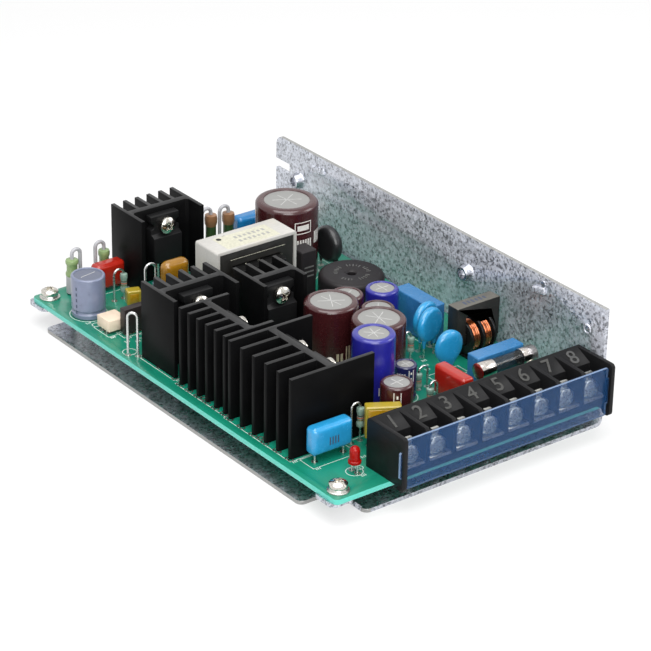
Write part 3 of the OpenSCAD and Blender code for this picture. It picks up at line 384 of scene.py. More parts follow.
FINISHES = {
    "sheet": lambda p: spangled_sheet("galvanised_sheet", p.sheet),
    # The base under the board: the sheet's colour darkened as painted shade, and made more metallic.
    "sheet_base": lambda p: spangled_sheet("galvanised_base_painted_shade", shade(p.sheet, 0.85), 1.0),
    "sheet_edge": lambda p: plated("sheet_cut_edge", (0.46, 0.46, 0.45), 0.4),
    "board": lambda p: solder_mask("board_green", p.board, p.board_edge),
    "silk": lambda p: printed("silkscreen_white", (0.62, 0.72, 0.66)),
    "solder": lambda p: plated("solder_tin", (0.62, 0.63, 0.64), 0.3),
    "copper_pad": lambda p: plated("tinned_pad", (0.55, 0.56, 0.5), 0.35),
    "screw": lambda p: plated("nickel_screw", (0.72, 0.69, 0.63), 0.18),
    "lead": lambda p: plated("tinned_lead", (0.74, 0.74, 0.73), 0.26),
    "clamp": lambda p: plated("plated_clamp", (0.66, 0.66, 0.62), 0.3),
    "terminal_screw": lambda p: plated("terminal_zinc", (0.86, 0.93, 0.95), 0.3),
    "fuse_cap": lambda p: plated("fuse_cap", (0.78, 0.73, 0.68), 0.14),
    # A dark disc standing for the shade inside a hole: painted shade.
    "hole": lambda p: printed("hole_painted_shade", (0.012, 0.012, 0.01)),
    "anodised": lambda p: anodised("anodised_black", p.anodised),
    # Top faces of the heatsinks: a lighter, glossier copy of the black finish, painted reflection of the bright
    # surroundings.
    "anodised_top": lambda p: anodised("anodised_top_painted_reflection", shade(p.anodised, 2.0), 0.3, 0.3),
    "epoxy": lambda p: moulded("package_black", (0.009, 0.009, 0.0095), 0.4, depth=0.12, specular=0.14),
    "housing": lambda p: moulded("housing_black", p.housing, 0.45, depth=0.3, specular=0.14),
    # The digits are moulded in the same black as the housing; their lighter colour is painted highlight.
    "digit": lambda p: moulded("digit_painted_highlight", (0.045, 0.045, 0.042), 0.28, depth=0.1, specular=0.5),
    "cover": lambda p: clear("cover_clear_blue", p.cover, p.cover_density, 0.05, specular=0.3),
    # Edges and top of the clear cover: denser because the path through the plastic is longer, and paler as painted
    # light caught along the edges.
    "cover_edge": lambda p: clear("cover_edge_painted_light", (0.19, 0.27, 0.42), 0.8, 0.15),
    "ferrite": lambda p: sintered("ferrite_dark", (0.009, 0.0085, 0.007)),
    # Lighter ferrite for the filter core's top faces only; with the dark ferrite on its sides this is painted light
    # and painted shade on one core.
    "ferrite_top_painted_light": lambda p: sintered("ferrite_top_painted_light", (0.105, 0.1, 0.085)),
    "bobbin": lambda p: moulded("bobbin_black", (0.007, 0.007, 0.007), 0.24, depth=0.1, specular=0.3),
    "winding": lambda p: lacquered("varnished_winding", (0.022, 0.017, 0.007), 0.2, 0.8 * MM),
    "tape": lambda p: lacquered("winding_tape", (0.03, 0.026, 0.012), 0.22),
    # Pale tinned wire ends; the same finish serves as the painted highlight along the bobbin flange's edge.
    "wire_end": lambda p: plated("wire_ends_and_painted_flange_highlight", (0.34, 0.33, 0.27), 0.3),
    "card": lambda p: insulating_card("cover_ivory", p.card),
    "brown": lambda p: lacquered("sleeve_brown", p.brown_sleeve, 0.2),
    "blue": lambda p: lacquered("sleeve_blue", p.blue_sleeve, 0.18),
    "dark_blue": lambda p: lacquered("sleeve_dark_blue", (0.012, 0.014, 0.07), 0.2),
    "grey_blue": lambda p: lacquered("sleeve_grey_blue", (0.17, 0.195, 0.285), 0.26),
    "can_top": lambda p: crimped_top("capacitor_top", (0.29, 0.29, 0.28)),
    "can_top_grey": lambda p: crimped_top("capacitor_top_grey", (0.14, 0.155, 0.21)),
    # The vent score is the same aluminium as the top; its pale colour is painted highlight along the groove.
    "score": lambda p: printed("vent_score_painted_highlight", (0.56, 0.56, 0.55)),
    "pale_print": lambda p: printed("print_pale", (0.78, 0.76, 0.72)),
    "gold_print": lambda p: printed("print_gold", (0.62, 0.52, 0.36)),
    "dark_print": lambda p: printed("print_dark", (0.05, 0.07, 0.12)),
    "case": lambda p: moulded("choke_case", (0.017, 0.015, 0.016), 0.4, specular=0.2),
    "case_print": lambda p: printed("choke_print", (0.11, 0.11, 0.105)),
    "copper": lambda p: enamelled_wire("copper_wire", (0.5, 0.13, 0.035)),
    "box_blue": lambda p: moulded("box_blue", p.box_blue, 0.25, depth=0.08, coat_weight=0.2),
    "glass": lambda p: clear("fuse_glass", (0.02, 0.024, 0.026), 0.3, 0.03, 0.35, 1.0),
    "sky": lambda p: lacquered("coating_sky", p.sky, 0.2),
    "disc_dark": lambda p: moulded("disc_dark", (0.014, 0.015, 0.016), 0.3, specular=0.5),
    "red": lambda p: lacquered("coating_red", p.red, 0.18),
    "yellow": lambda p: lacquered("film_yellow", p.yellow, 0.24, 1.2 * MM),
    "yellow_edge": lambda p: lacquered("film_yellow_edge", (0.36, 0.27, 0.02), 0.3, 0.7 * MM),
    "amber": lambda p: lacquered("coating_amber", p.amber, 0.16),
    "cream": lambda p: moulded("chip_cream", (0.76, 0.62, 0.48), 0.45, depth=0.15),
    "lamp": lambda p: clear("lamp_red", (0.34, 0.003, 0.002), 0.9, 0.1, specular=0.25),
    "lamp_core": lambda p: plated("lamp_core", (0.6, 0.1, 0.06), 0.3),
    "sky_deep": lambda p: lacquered("coating_deep_blue", (0.01, 0.17, 0.42), 0.2),
    "chip_dark": lambda p: moulded("chip_dark", (0.02, 0.014, 0.014), 0.42, specular=0.35),
    "link_sleeve": lambda p: moulded("sleeve_link", (0.12, 0.2, 0.27), 0.45),
    "label": lambda p: printed("label_cream", (0.6, 0.585, 0.47)),
    "label_ink": lambda p: printed("label_grey", (0.36, 0.36, 0.34)),
    "lacquer_green": lambda p: lacquered("resistor_green", (0.035, 0.075, 0.022), 0.3),
    "lacquer_brown": lambda p: lacquered("resistor_brown", (0.24, 0.12, 0.055), 0.35),
    "lacquer_grey": lambda p: lacquered("resistor_grey", (0.2, 0.3, 0.25), 0.3),
    "lime": lambda p: lacquered("resistor_lime", (0.22, 0.32, 0.13), 0.35),
    "band_dark": lambda p: printed("band_dark", (0.05, 0.035, 0.03)),
    "band_red": lambda p: printed("band_red", (0.5, 0.1, 0.05)),
    "band_gold": lambda p: plated("band_gold", (0.6, 0.42, 0.14), 0.35),
    "pale_sleeve": lambda p: moulded("sleeve_pale", (0.4, 0.4, 0.42), 0.45),
}


def finish(name):
    """The material of that name, made the first time it is asked for."""
    made = finish.made.get(name)
    if made is None:
        made = FINISHES[name](bpy.context.scene.supply_colours)
        finish.made[name] = made
    return made


finish.made = {}


# ---------------------------------------------------------------- shape building


def moved(x, y, z):
    """A place away from the origin."""
    return Matrix.Translation((x, y, z))


def rotated(degrees, axis="Z"):
    """A turn about one axis."""
    return Matrix.Rotation(math.radians(degrees), 4, axis)


def circle_points(radius, steps, start=0.0, turn=FULL_TURN):
    """Points round a circle or arc, as (x, y)."""
    count = steps if abs(turn - FULL_TURN) < 1e-6 else steps + 1
    angles = [start + turn * i / steps for i in range(count)]
    return [(radius * math.cos(a), radius * math.sin(a)) for a in angles]


def arc(centre, radius, start, stop, steps=6):
    """Points along an arc in an outline's own plane, angles in degrees."""
    angles = [math.radians(start + (stop - start) * i / steps) for i in range(steps + 1)]
    return [(centre[0] + radius * math.cos(a), centre[1] + radius * math.sin(a)) for a in angles]


class Piece:
    """Collects the faces of one piece, then makes the object that rides on the part."""

    def __init__(self, name, node, finishes, replaces=False):
        self.name = name
        self.slot = slot_of(node)
        self.finishes = finishes
        self.replaces = (node,) if replaces else ()
        self.mesh = bmesh.new()

    def grid(self, rings, finish_index=0, close_ring=True, close_loop=False, caps=False):
        """Joins rings of points into a skin; caps closes its first and last ring."""
        rows = [[self.mesh.verts.new(p) for p in ring] for ring in rings]
        if close_loop:
            rows.append(rows[0])
        count = len(rows[0])
        for low, high in zip(rows, rows[1:]):
            for i in range(count if close_ring else count - 1):
                j = (i + 1) % count
                face = self.mesh.faces.new((low[i], low[j], high[j], high[i]))
                face.material_index = finish_index
                face.smooth = True
        if caps:
            for row, flip in ((rows[0], True), (rows[-1], False)):
                face = self.mesh.faces.new(reversed(row) if flip else row)
                face.material_index = finish_index

    def revolve(self, profile, matrix, steps=48, finish_of=None):
        """Turns a profile of (radius, height) points round an axis; a point at radius 0 closes it."""
        rows = []
        for radius, height in profile:
            if radius < 1e-7:
                rows.append([self.mesh.verts.new(matrix @ Vector((0, 0, height)))])
            else:
                ring = circle_points(radius, steps)
                rows.append([self.mesh.verts.new(matrix @ Vector((x, y, height))) for x, y in ring])
        for index, (low, high) in enumerate(zip(rows, rows[1:])):
            for i in range(steps):
                j = (i + 1) % steps
                corners = [low[i % len(low)], low[j % len(low)], high[j % len(high)], high[i % len(high)]]
                face = self.mesh.faces.new(list(dict.fromkeys(corners)))
                face.material_index = finish_of[index] if finish_of else 0
                face.smooth = True

    def tube(self, points, radius, finish_index=0, sides=10, closed=False):
        """Sweeps a round wire along points."""
        points = [Vector(p) for p in points]
        count = len(points)
        rings = []
        side = None
        for i, point in enumerate(points):
            before = points[i - 1] if i or closed else point
            after = points[(i + 1) % count] if i + 1 < count or closed else point
            along = (after - before).normalized()
            if side is None:
                side = along.orthogonal().normalized()
            side = (side - along * side.dot(along)).normalized()
            other = along.cross(side)
            rings.append([point + side * x + other * y for x, y in circle_points(radius, sides)])
        self.grid(rings, finish_index, close_loop=closed, caps=not closed)

    def slab(self, outline, thickness, matrix, finish_index=0):
        """A flat outline given thickness along its own Z."""
        low = [self.mesh.verts.new(matrix @ Vector((x, y, 0))) for x, y in outline]
        high = [self.mesh.verts.new(matrix @ Vector((x, y, thickness))) for x, y in outline]
        faces = [self.mesh.faces.new(list(reversed(low))), self.mesh.faces.new(high)]
        for i in range(len(outline)):
            j = (i + 1) % len(outline)
            faces.append(self.mesh.faces.new((low[i], low[j], high[j], high[i])))
        for face in faces:
            face.material_index = finish_index

    def bar(self, x, y, width, height, thickness, matrix, finish_index=0):
        """A small flat rectangle centred on x, y in a plane."""
        left, right = x - width / 2, x + width / 2
        low, high = y - height / 2, y + height / 2
        self.slab([(left, low), (right, low), (right, high), (left, high)], thickness, matrix, finish_index)

    def frame(self, width, height, line, thickness, matrix, finish_index=0):
        """A rectangle drawn as four thin bars round a plane's origin."""
        for y in (-height / 2, height / 2):
            self.bar(0, y, width + line, line, thickness, matrix, finish_index)
        for x in (-width / 2, width / 2):
            self.bar(x, 0, line, height - line, thickness, matrix, finish_index)

    def ring(self, radius, line, thickness, matrix, finish_index=0, steps=36, start=0.0, turn=FULL_TURN):
        """A flat ring or arc of a line's width."""
        inner = circle_points(radius - line / 2, steps, start, turn)
        outer = circle_points(radius + line / 2, steps, start, turn)
        count = len(inner)
        closed = count == steps
        for i in range(count if closed else count - 1):
            j = (i + 1) % count
            quad = [inner[i], outer[i], outer[j], inner[j]]
            self.slab(quad, thickness, matrix, finish_index)

    def wrap(self, radius, angle, width, low, high, matrix, finish_index=0, steps=6):
        """A thin field printed on a round can, between two heights."""
        half = width / radius / 2
        outer = radius + PRINT_LIFT
        rows = []
        for height in (low, high):
            angles = [angle - half + 2 * half * i / steps for i in range(steps + 1)]
            points = [(outer * math.cos(a), outer * math.sin(a), height) for a in angles]
            rows.append([matrix @ Vector(point) for point in points])
        self.grid(rows, finish_index, close_ring=False)

    def pillow(self, size, radius, matrix, bulge=0.0, finish_index=0, cuts=11):
        """A dipped block: a box with well rounded edges, whose front and back swell a little."""
        half = Vector(size) / 2
        core = Vector([max(h - radius, 0.0) for h in half])
        block = bmesh.new()
        bmesh.ops.create_cube(block, size=2.0)
        bmesh.ops.subdivide_edges(block, edges=block.edges[:], cuts=cuts, use_grid_fill=True)
        for vert in block.verts:
            unit = vert.co.copy()
            spread = [
                min(abs(u) * 3, 1) * c + max(abs(u) * 1.5 - 0.5, 0) * (h - c)
                for u, c, h in zip(unit, core, half)
            ]
            point = Vector([math.copysign(length, u) for length, u in zip(spread, unit)])
            inner = Vector([max(-c, min(c, p)) for c, p in zip(core, point)])
            out = point - inner
            if out.length > 1e-9:
                point = inner + out.normalized() * radius
            swell = bulge * (1 - unit.x**2) * (1 - unit.z**2)
            point.y *= (1 + swell) / (1 + bulge)
            vert.co = matrix @ point
        self.absorb(block, finish_index)

    def absorb(self, other, finish_index=0, smooth=True):
        """Takes over the faces of another mesh under construction."""
        other.verts.index_update()
        copies = [self.mesh.verts.new(v.co) for v in other.verts]
        for face in other.faces:
            made = self.mesh.faces.new([copies[v.index] for v in face.verts])
            made.material_index = finish_index
            made.smooth = smooth
        other.free()

    def done(self, sharp=35.0):
        """Makes the object from what was collected."""
        data = bpy.data.meshes.new(self.name)
        self.mesh.normal_update()
        self.mesh.to_mesh(data)
        self.mesh.free()
        for name in self.finishes:
            data.materials.append(finish(name))
        return keep(self.name, data, self.replaces, sharp)


def keep(name, data, replaces=(), sharp=35.0):
    """Links a finished mesh as a piece of the part."""
    data.shade_smooth()
    data.set_sharp_from_angle(angle=math.radians(sharp))
    made = bpy.data.objects.new(name, data)
    bpy.context.scene.collection.objects.link(made)
    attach(made, "root")
    if replaces:
        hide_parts(*replaces)
    return made


def slot_of(node):
    """The record's material slot of a CAD node."""
    return next(s["material_slot"] for s in frame["record"]["subparts"] if s["node"] == node)


def eased_mesh(node, width, segments):
    """A copy of a CAD solid's mesh with its sharp edges rounded."""
    mesh = bmesh.new()
    mesh.from_mesh(frame["nodes"][node].data)
    bmesh.ops.remove_doubles(mesh, verts=mesh.verts, dist=1e-6)
    bmesh.ops.dissolve_limit(
        mesh, angle_limit=math.radians(0.4), verts=mesh.verts, edges=mesh.edges, use_dissolve_boundaries=False
    )
    edges = [e for e in mesh.edges if len(e.link_faces) == 2 and e.calc_face_angle(0.0) > math.radians(32)]
    if width and edges:
        bmesh.ops.bevel(
            mesh, geom=edges, offset=width, segments=segments, profile=0.5, affect="EDGES",
            clamp_overlap=True, loop_slide=True,
        )
    return mesh


def eased(node, finishes, width=0.12 * MM, pick=None, segments=2):
    """The rounded copy of a CAD solid, which is shown in its place."""
    mesh = eased_mesh(node, width, segments)
    for face in mesh.faces:
        face.material_index = pick(face.calc_center_median(), face.normal) if pick else 0
    data = bpy.data.meshes.new("dressed_" + node)
    mesh.to_mesh(data)
    mesh.free()
    for name in finishes:
        data.materials.append(finish(name))
    return keep("dressed_" + node, data, (node,), 50.0)


def between(low, high, z):
    """The middle of two corners in plan, at height z."""
    return Vector(((low.x + high.x) / 2, (low.y + high.y) / 2, z))


def centre_of(node):
    """Middle of a CAD node's base, and its size."""
    low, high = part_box(node)
    return between(low, high, low.z), high - low


HEATSINKS = ("rear_heatsink", "left_heatsink", "middle_heatsink", "small_comb_heatsink", "large_comb_heatsink")
PACKAGES = ("rear_transistor", "left_transistor", "middle_transistor", "small_rectifier", "large_rectifier")
board_low, board_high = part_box("circuit_board")
BOARD_TOP = board_high.z
BOARD_UNDER = board_low.z


def upright(node, turn=0.0):
    """A place at the middle of a CAD node's base, turned about the vertical."""
    middle, _ = centre_of(node)
    return Matrix.Translation(middle) @ Matrix.Rotation(turn, 4, "Z")


def islands(node):
    """Lowest and highest corners of each separate solid in a CAD node, from front to back."""
    mesh = bmesh.new()
    mesh.from_mesh(frame["nodes"][node].data)
    bmesh.ops.remove_doubles(mesh, verts=mesh.verts, dist=1e-6)
    waiting = set(mesh.verts)
    boxes = []
    while waiting:
        front = [waiting.pop()]
        low, high = front[0].co.copy(), front[0].co.copy()
        while front:
            vert = front.pop()
            for i in range(3):
                low[i] = min(low[i], vert.co[i])
                high[i] = max(high[i], vert.co[i])
            near = [e.other_vert(vert) for e in vert.link_edges]
            fresh = [v for v in near if v in waiting]
            waiting.difference_update(fresh)
            front.extend(fresh)
        boxes.append((low, high))
    mesh.free()
    return sorted(boxes, key=lambda b: (b[0].y, b[0].x))


def hairpin_path(foot, top, over, down):
    """A wire up from foot, round a half turn below top, and down to height down at x, y of over."""
    foot, over = Vector(foot), Vector(over)
    reach = Vector((over.x - foot.x, over.y - foot.y, 0.0))
    radius = reach.length / 2
    middle = foot + reach / 2
    middle.z = top - radius
    along = reach.normalized()
    bend = [middle - along * radius * math.cos(a) + Vector((0, 0, radius * math.sin(a)))
            for a in (math.pi * i / 12 for i in range(13))]
    return [foot, Vector((foot.x, foot.y, (foot.z + middle.z) / 2)), *bend, Vector((over.x, over.y, down))]


# ---------------------------------------------------------------- families of parts


CAN_FINISHES = ["score", "pale_print", "gold_print", "dark_print"]


def capacitor_can(node, sleeve, top_share, shoulder, spokes, prints, top="can_top"):
    """A sleeved can: foot, crimp, rounded shoulder, and a recessed aluminium top with a vent score."""
    low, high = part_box(node)
    radius = (high.x - low.x) / 2
    height = high.z - low.z
    disc = radius * top_share
    recess = height - 0.3 * MM
    piece = Piece("sleeved_" + node, node, [sleeve, top, *CAN_FINISHES], replaces=True)
    crimp = [(radius - 0.42 * MM * math.sin(math.pi * i / 8), (1.5 + 1.4 * i / 8) * MM) for i in range(9)]
    edge = arc((radius - shoulder, height - shoulder), shoulder, 0, 84, 7)
    lip = arc((disc + 0.22 * MM, height - 0.22 * MM), 0.22 * MM, 90, 180, 4)
    profile = [(0, 0), (radius - 0.5 * MM, 0), *arc((radius - 0.4 * MM, 0.4 * MM), 0.4 * MM, -90, 0, 3)]
    profile += [*crimp, *edge, *lip, (disc, recess)]
    skirt = len(profile) - 1
    profile += [(disc * 0.94, recess + 0.02 * MM), (disc * 0.5, recess + 0.08 * MM), (0, recess + 0.1 * MM)]
    place = upright(node)
    piece.revolve(profile, place, 64, [0] * skirt + [1] * 3)
    # Pale bars along the vent score: painted highlight.
    for angle in spokes:
        turned = place @ rotated(angle) @ moved(0, 0, recess)
        piece.bar(0, 0, disc * 1.3, 0.2 * MM, 0.14 * MM, turned, 2)
    for kind, angle, width, bottom, upper, index in prints:
        angle = math.radians(angle)
        bottom, upper = bottom * height, upper * height
        if kind == "field":
            piece.wrap(radius, angle, width * MM, bottom, upper, place, index)
        else:
            for z in (bottom, upper - FRAME_LINE):
                piece.wrap(radius, angle, width * MM, z, z + FRAME_LINE, place, index)
            for side in (-1, 1):
                aside = side * (width * MM / 2 - FRAME_LINE / 2) / radius
                piece.wrap(radius, angle + aside, FRAME_LINE, bottom, upper, place, index, 2)
    return piece.done()


def bars(angle, step, count, width, bottom, top, index):
    """A row of printed strokes round a can, standing for lines of small print."""
    return [("field", angle + step * i, width, bottom, top, index) for i in range(count)]


def stripe(angle, index, rows=5):
    """The pale marks of a can's negative side."""
    marks = [("field", angle, 0.5, 0.16 + 0.16 * i, 0.22 + 0.16 * i, index) for i in range(rows)]
    edges = [("field", angle + side * 12, 0.25, 0.1, 0.92, index) for side in (-1, 1)]
    return [*marks, *edges]


def wire_foot(piece, x, y, top, radius=0.35 * MM, index=1):
    """A straight lead from the board up into a body."""
    piece.tube([(x, y, BOARD_TOP), (x, y, (BOARD_TOP + top) / 2), (x, y, top)], radius, index)


def dipped_film(piece, middle, size, lift, pitch, radius, bulge=0.1, turn=0.0, marks=0):
    """A dipped film capacitor on two leads, with a few printed strokes on its front."""
    width, depth, height = (v * MM for v in size)
    place = Matrix.Translation(middle) @ rotated(turn)
    body = place @ moved(0, 0, lift * MM + height / 2)
    piece.pillow((width, depth, height), radius * MM, body, bulge)
    run = [(0.36, lift - 0.8), (0.7, lift + 0.15), (0.9, lift + min(radius, 1.2))]
    for side in (-1, 1):
        pin = place @ moved(side * pitch * MM / 2, 0, 0)
        foot = pin.translation
        wire_foot(piece, foot.x, foot.y, BOARD_TOP + (lift + radius * 0.5) * MM)
        piece.revolve([(r * MM, z * MM) for r, z in run], pin, 16, [0, 0])
    face = body @ moved(0, -depth / 2 - 0.01 * MM, 0) @ rotated(90, "X")
    for i in range(marks):
        x = (i - (marks - 1) / 2) * 0.95 * MM
        piece.bar(x, -0.06 * height, 0.42 * MM, 0.28 * height, 0.03 * MM, face, 2)
    return body


def disc_body(piece, place, radius, thickness, lift, neck, pitch, index=0):
    """A coated disc on edge with a coating that runs down its two leads."""
    half = thickness / 2
    edge = [(radius - half * 0.9 + half * 0.9 * math.cos(a), half * math.sin(a))
            for a in (math.pi * (i - 6) / 12 for i in range(13))]
    profile = [(0, -half), (radius * 0.5, -half), *edge, (radius * 0.5, half), (0, half)]
    stand = place @ moved(0, 0, lift + radius) @ rotated(90, "X")
    piece.revolve(profile, stand, 48, [index] * (len(profile) - 1))
    for side in (-1, 1):
        foot = place @ Vector((side * pitch / 2, 0, 0))
        wire_foot(piece, foot.x, foot.y, BOARD_TOP + lift + radius * 0.4)
        run = [(0.37 * MM, lift - neck), (0.62 * MM, lift)]
        run += [(0.95 * MM, lift + radius * 0.28), (0.6 * MM, lift + radius * 0.6)]
        piece.revolve(run, place @ moved(side * pitch / 2, 0, 0), 16, [index] * 3)


def standing_resistor(
    piece, box, body, lift, length, loop_side, bands=(), ends=0, loop=0.35 * MM, loop_index=1
):
    """A resistor on end: dog-bone body with colour bands, its top lead looped down beside it."""
    low, high = box
    radius = body / 2 * MM
    wire = 0.35 * MM
    x = high.x - radius if loop_side < 0 else low.x + radius
    foot_x = low.x + wire if loop_side < 0 else high.x - wire
    y = (low.y + high.y) / 2
    bottom, length = lift * MM, length * MM
    neck = radius * 0.82
    bell = length * 0.24
    profile = [(0, 0), (radius * 0.5, 0.02 * MM), (radius * 0.9, 0.22 * MM)]
    profile += [(radius, bell * 0.5), (radius * 0.97, bell), (neck, bell * 1.35)]
    colours = [ends] * 5
    inner = length - 2.7 * bell
    for i, ink in enumerate(bands):
        start = bell * 1.35 + inner * (0.08 + i * 0.92 / len(bands))
        profile += [(neck, start), (neck, start + inner * 0.5 / len(bands))]
        colours += [0, ink]
    profile += [(neck, length - bell * 1.35), (radius * 0.97, length - bell), (radius, length - bell * 0.5)]
    profile += [(radius * 0.9, length - 0.22 * MM), (radius * 0.5, length - 0.02 * MM), (0, length)]
    colours += [0, *[ends] * 5]
    piece.revolve(profile, moved(x, y, BOARD_TOP + bottom), 24, colours)
    wire_foot(piece, x, y, BOARD_TOP + bottom + 0.3 * MM, wire)
    end = BOARD_TOP + bottom + length - 0.3 * MM
    piece.tube(hairpin_path((foot_x, y, BOARD_TOP), high.z - loop, (x, y, 0), end), loop, loop_index)


def feet_of(node, reach=1.3 * MM):
    """Middles of the narrow feet with which a CAD node stands on the board."""
    vertices = frame["nodes"][node].data.vertices
    touching = [v.co.copy() for v in vertices if abs(v.co.z - BOARD_TOP) < 0.05 * MM]
    groups = []
    for point in touching:
        near = [g for g in groups if min((point - p).length for p in g) < 0.75 * MM]
        merged = [point] + [p for g in near for p in g]
        groups = [g for g in groups if g not in near] + [merged]
    feet = []
    for group in groups:
        spread = max(max(p[i] for p in group) - min(p[i] for p in group) for i in range(2))
        if spread < reach:
            feet.append(sum(group, Vector()) / len(group))
    return feet


# ---------------------------------------------------------------- settings


def colour_setting(name, description, default):
    """A colour that a user may change, as linear red, green and blue."""
    return bpy.props.FloatVectorProperty(
        name=name, description=description, default=default, min=0.0, max=1.0, size=3, subtype="COLOR"
    )


def length_setting(name, description, default):
    """A length that a user may change, in metres."""
    return bpy.props.FloatProperty(
        name=name, description=description, default=default, min=0.0, subtype="DISTANCE", unit="LENGTH"
    )


def number_setting(name, description, default):
    """A plain number that a user may change."""
    return bpy.props.FloatProperty(name=name, description=description, default=default)


class SUPPLY_PG_colours(bpy.types.PropertyGroup):
    """Colours of the supply's parts."""

    sheet: colour_setting("Sheet", "Galvanised chassis sheet", (0.6, 0.62, 0.68))
    board: colour_setting("Board", "Solder mask on the board's faces", (0.006, 0.225, 0.14))
    board_edge: colour_setting("Board Edge", "Cut edge of the board", (0.075, 0.5, 0.41))
    housing: colour_setting("Terminal Block", "Moulded terminal block", (0.0065, 0.0065, 0.007))
    cover: colour_setting("Clear Cover", "Tinted cover of the terminals", (0.014, 0.06, 0.17))
    cover_density: number_setting("Cover Density", "Share of what is behind it that the cover hides", 0.42)
    anodised: colour_setting("Heatsinks", "Black anodised aluminium", (0.003, 0.003, 0.0032))
    card: colour_setting("Insulating Cover", "Pressboard over the transformer", (0.5, 0.487, 0.46))
    brown_sleeve: colour_setting("Brown Sleeve", "Sleeve of the brown capacitors", (0.043, 0.0075, 0.009))
    blue_sleeve: colour_setting("Blue Sleeve", "Sleeve of the blue capacitors", (0.016, 0.016, 0.24))
    box_blue: colour_setting("Line Capacitors", "Boxes of the line capacitors", (0.03, 0.17, 0.38))
    sky: colour_setting("Sky Coating", "Coating of the sky blue discs and film", (0.018, 0.26, 0.52))
    red: colour_setting("Red Coating", "Coating of the red film capacitors", (0.38, 0.013, 0.005))
    yellow: colour_setting("Yellow Film", "Wrap of the yellow film capacitors", (0.4, 0.22, 0.006))
    amber: colour_setting("Amber Coating", "Coating of the amber film capacitor", (0.3, 0.14, 0.008))


class SUPPLY_PG_sizes(bpy.types.PropertyGroup):
    """Fine sizes that the looks add to the model."""

    ease: length_setting("Edge Ease", "Rounding of moulded and extruded edges", 0.14 * MM)
    print_line: length_setting("Print Line", "Width of the board's printed lines", 0.22 * MM)
    joint: length_setting("Solder Joint", "Radius of the solder joints", 0.95 * MM)
    digit: length_setting("Digit Size", "Size of the terminal block's digits", 6.6 * MM)
    copper: length_setting("Copper Wire", "Radius of the line filter's wire", 0.36 * MM)


class SUPPLY_PG_stage(bpy.types.PropertyGroup):
    """Floor, lamps and camera."""

    floor: colour_setting("Floor", "Colour of the floor", (0.86, 0.86, 0.86))
    top_power: number_setting("Top Lamp", "Power of the top lamp", 7.8)
    front_power: number_setting("Front Lamp", "Power of the front lamp", 6.2)
    side_power: number_setting("Side Lamp", "Power of the side lamp", 3.0)
    ambient: number_setting("Ambient", "Strength of the world's light", 0.22)


# ---------------------------------------------------------------- operators


class SUPPLY_OT_chassis(bpy.types.Operator):
    """Eases the folded chassis and gives it its zinc spangle"""

    bl_idname = "supply.chassis"
    bl_label = "Chassis"
    bl_options = {"REGISTER", "UNDO"}

    lugs = ((56.2, 33.4), (-51.4, 33.1))
    dimple = (-72.6, 28.9)

    def execute(self, context):
        eased("chassis", ["sheet", "sheet_edge", "sheet_base"], 0.22 * MM, self.sort_faces)
        self.stamped_marks()
        return {"FINISHED"}

    def sort_faces(self, centre, normal):
        """Bare cut edges apart from the coated faces, and the base apart from the side wall; the base takes a darker,
        glossier copy of the sheet, painted shade under the board.
        """
        base_edge = centre.z < 1.3 * MM and abs(normal.z) < 0.5
        wall_top = centre.z > cad_high.z - 0.4 * MM and normal.z > 0.5
        wall_end = abs(normal.y) > 0.6 and centre.x > cad_high.x - 1.3 * MM
        if base_edge or wall_top or wall_end:
            return 1
        # The base takes the darker copy of the sheet: painted shade under the board.
        return 0 if centre.x > cad_high.x - 1.5 * MM else 2

    def stamped_marks(self):
        """Two small half-sheared lugs and a round dimple, stamped inwards from the side wall."""
        piece = Piece("wall_stampings", "chassis", ["sheet"])
        wall = cad_high.x - 1.2 * MM
        for y, z in self.lugs:
            middle = (wall - 0.1 * MM, y * MM, z * MM)
            spot = Matrix.Translation(middle) @ rotated(-12, "X")
            piece.pillow((1.6 * MM, 5.6 * MM, 2.3 * MM), 0.55 * MM, spot)
        y, z = self.dimple
        spot = moved(wall, y * MM, z * MM) @ rotated(-90, "Y")
        rim = arc((1.3 * MM, 0.0), 0.35 * MM, 0, 180, 8)
        piece.revolve([*rim, (0.6 * MM, -0.05 * MM), (0, -0.06 * MM)], spot, 24)
        piece.done()


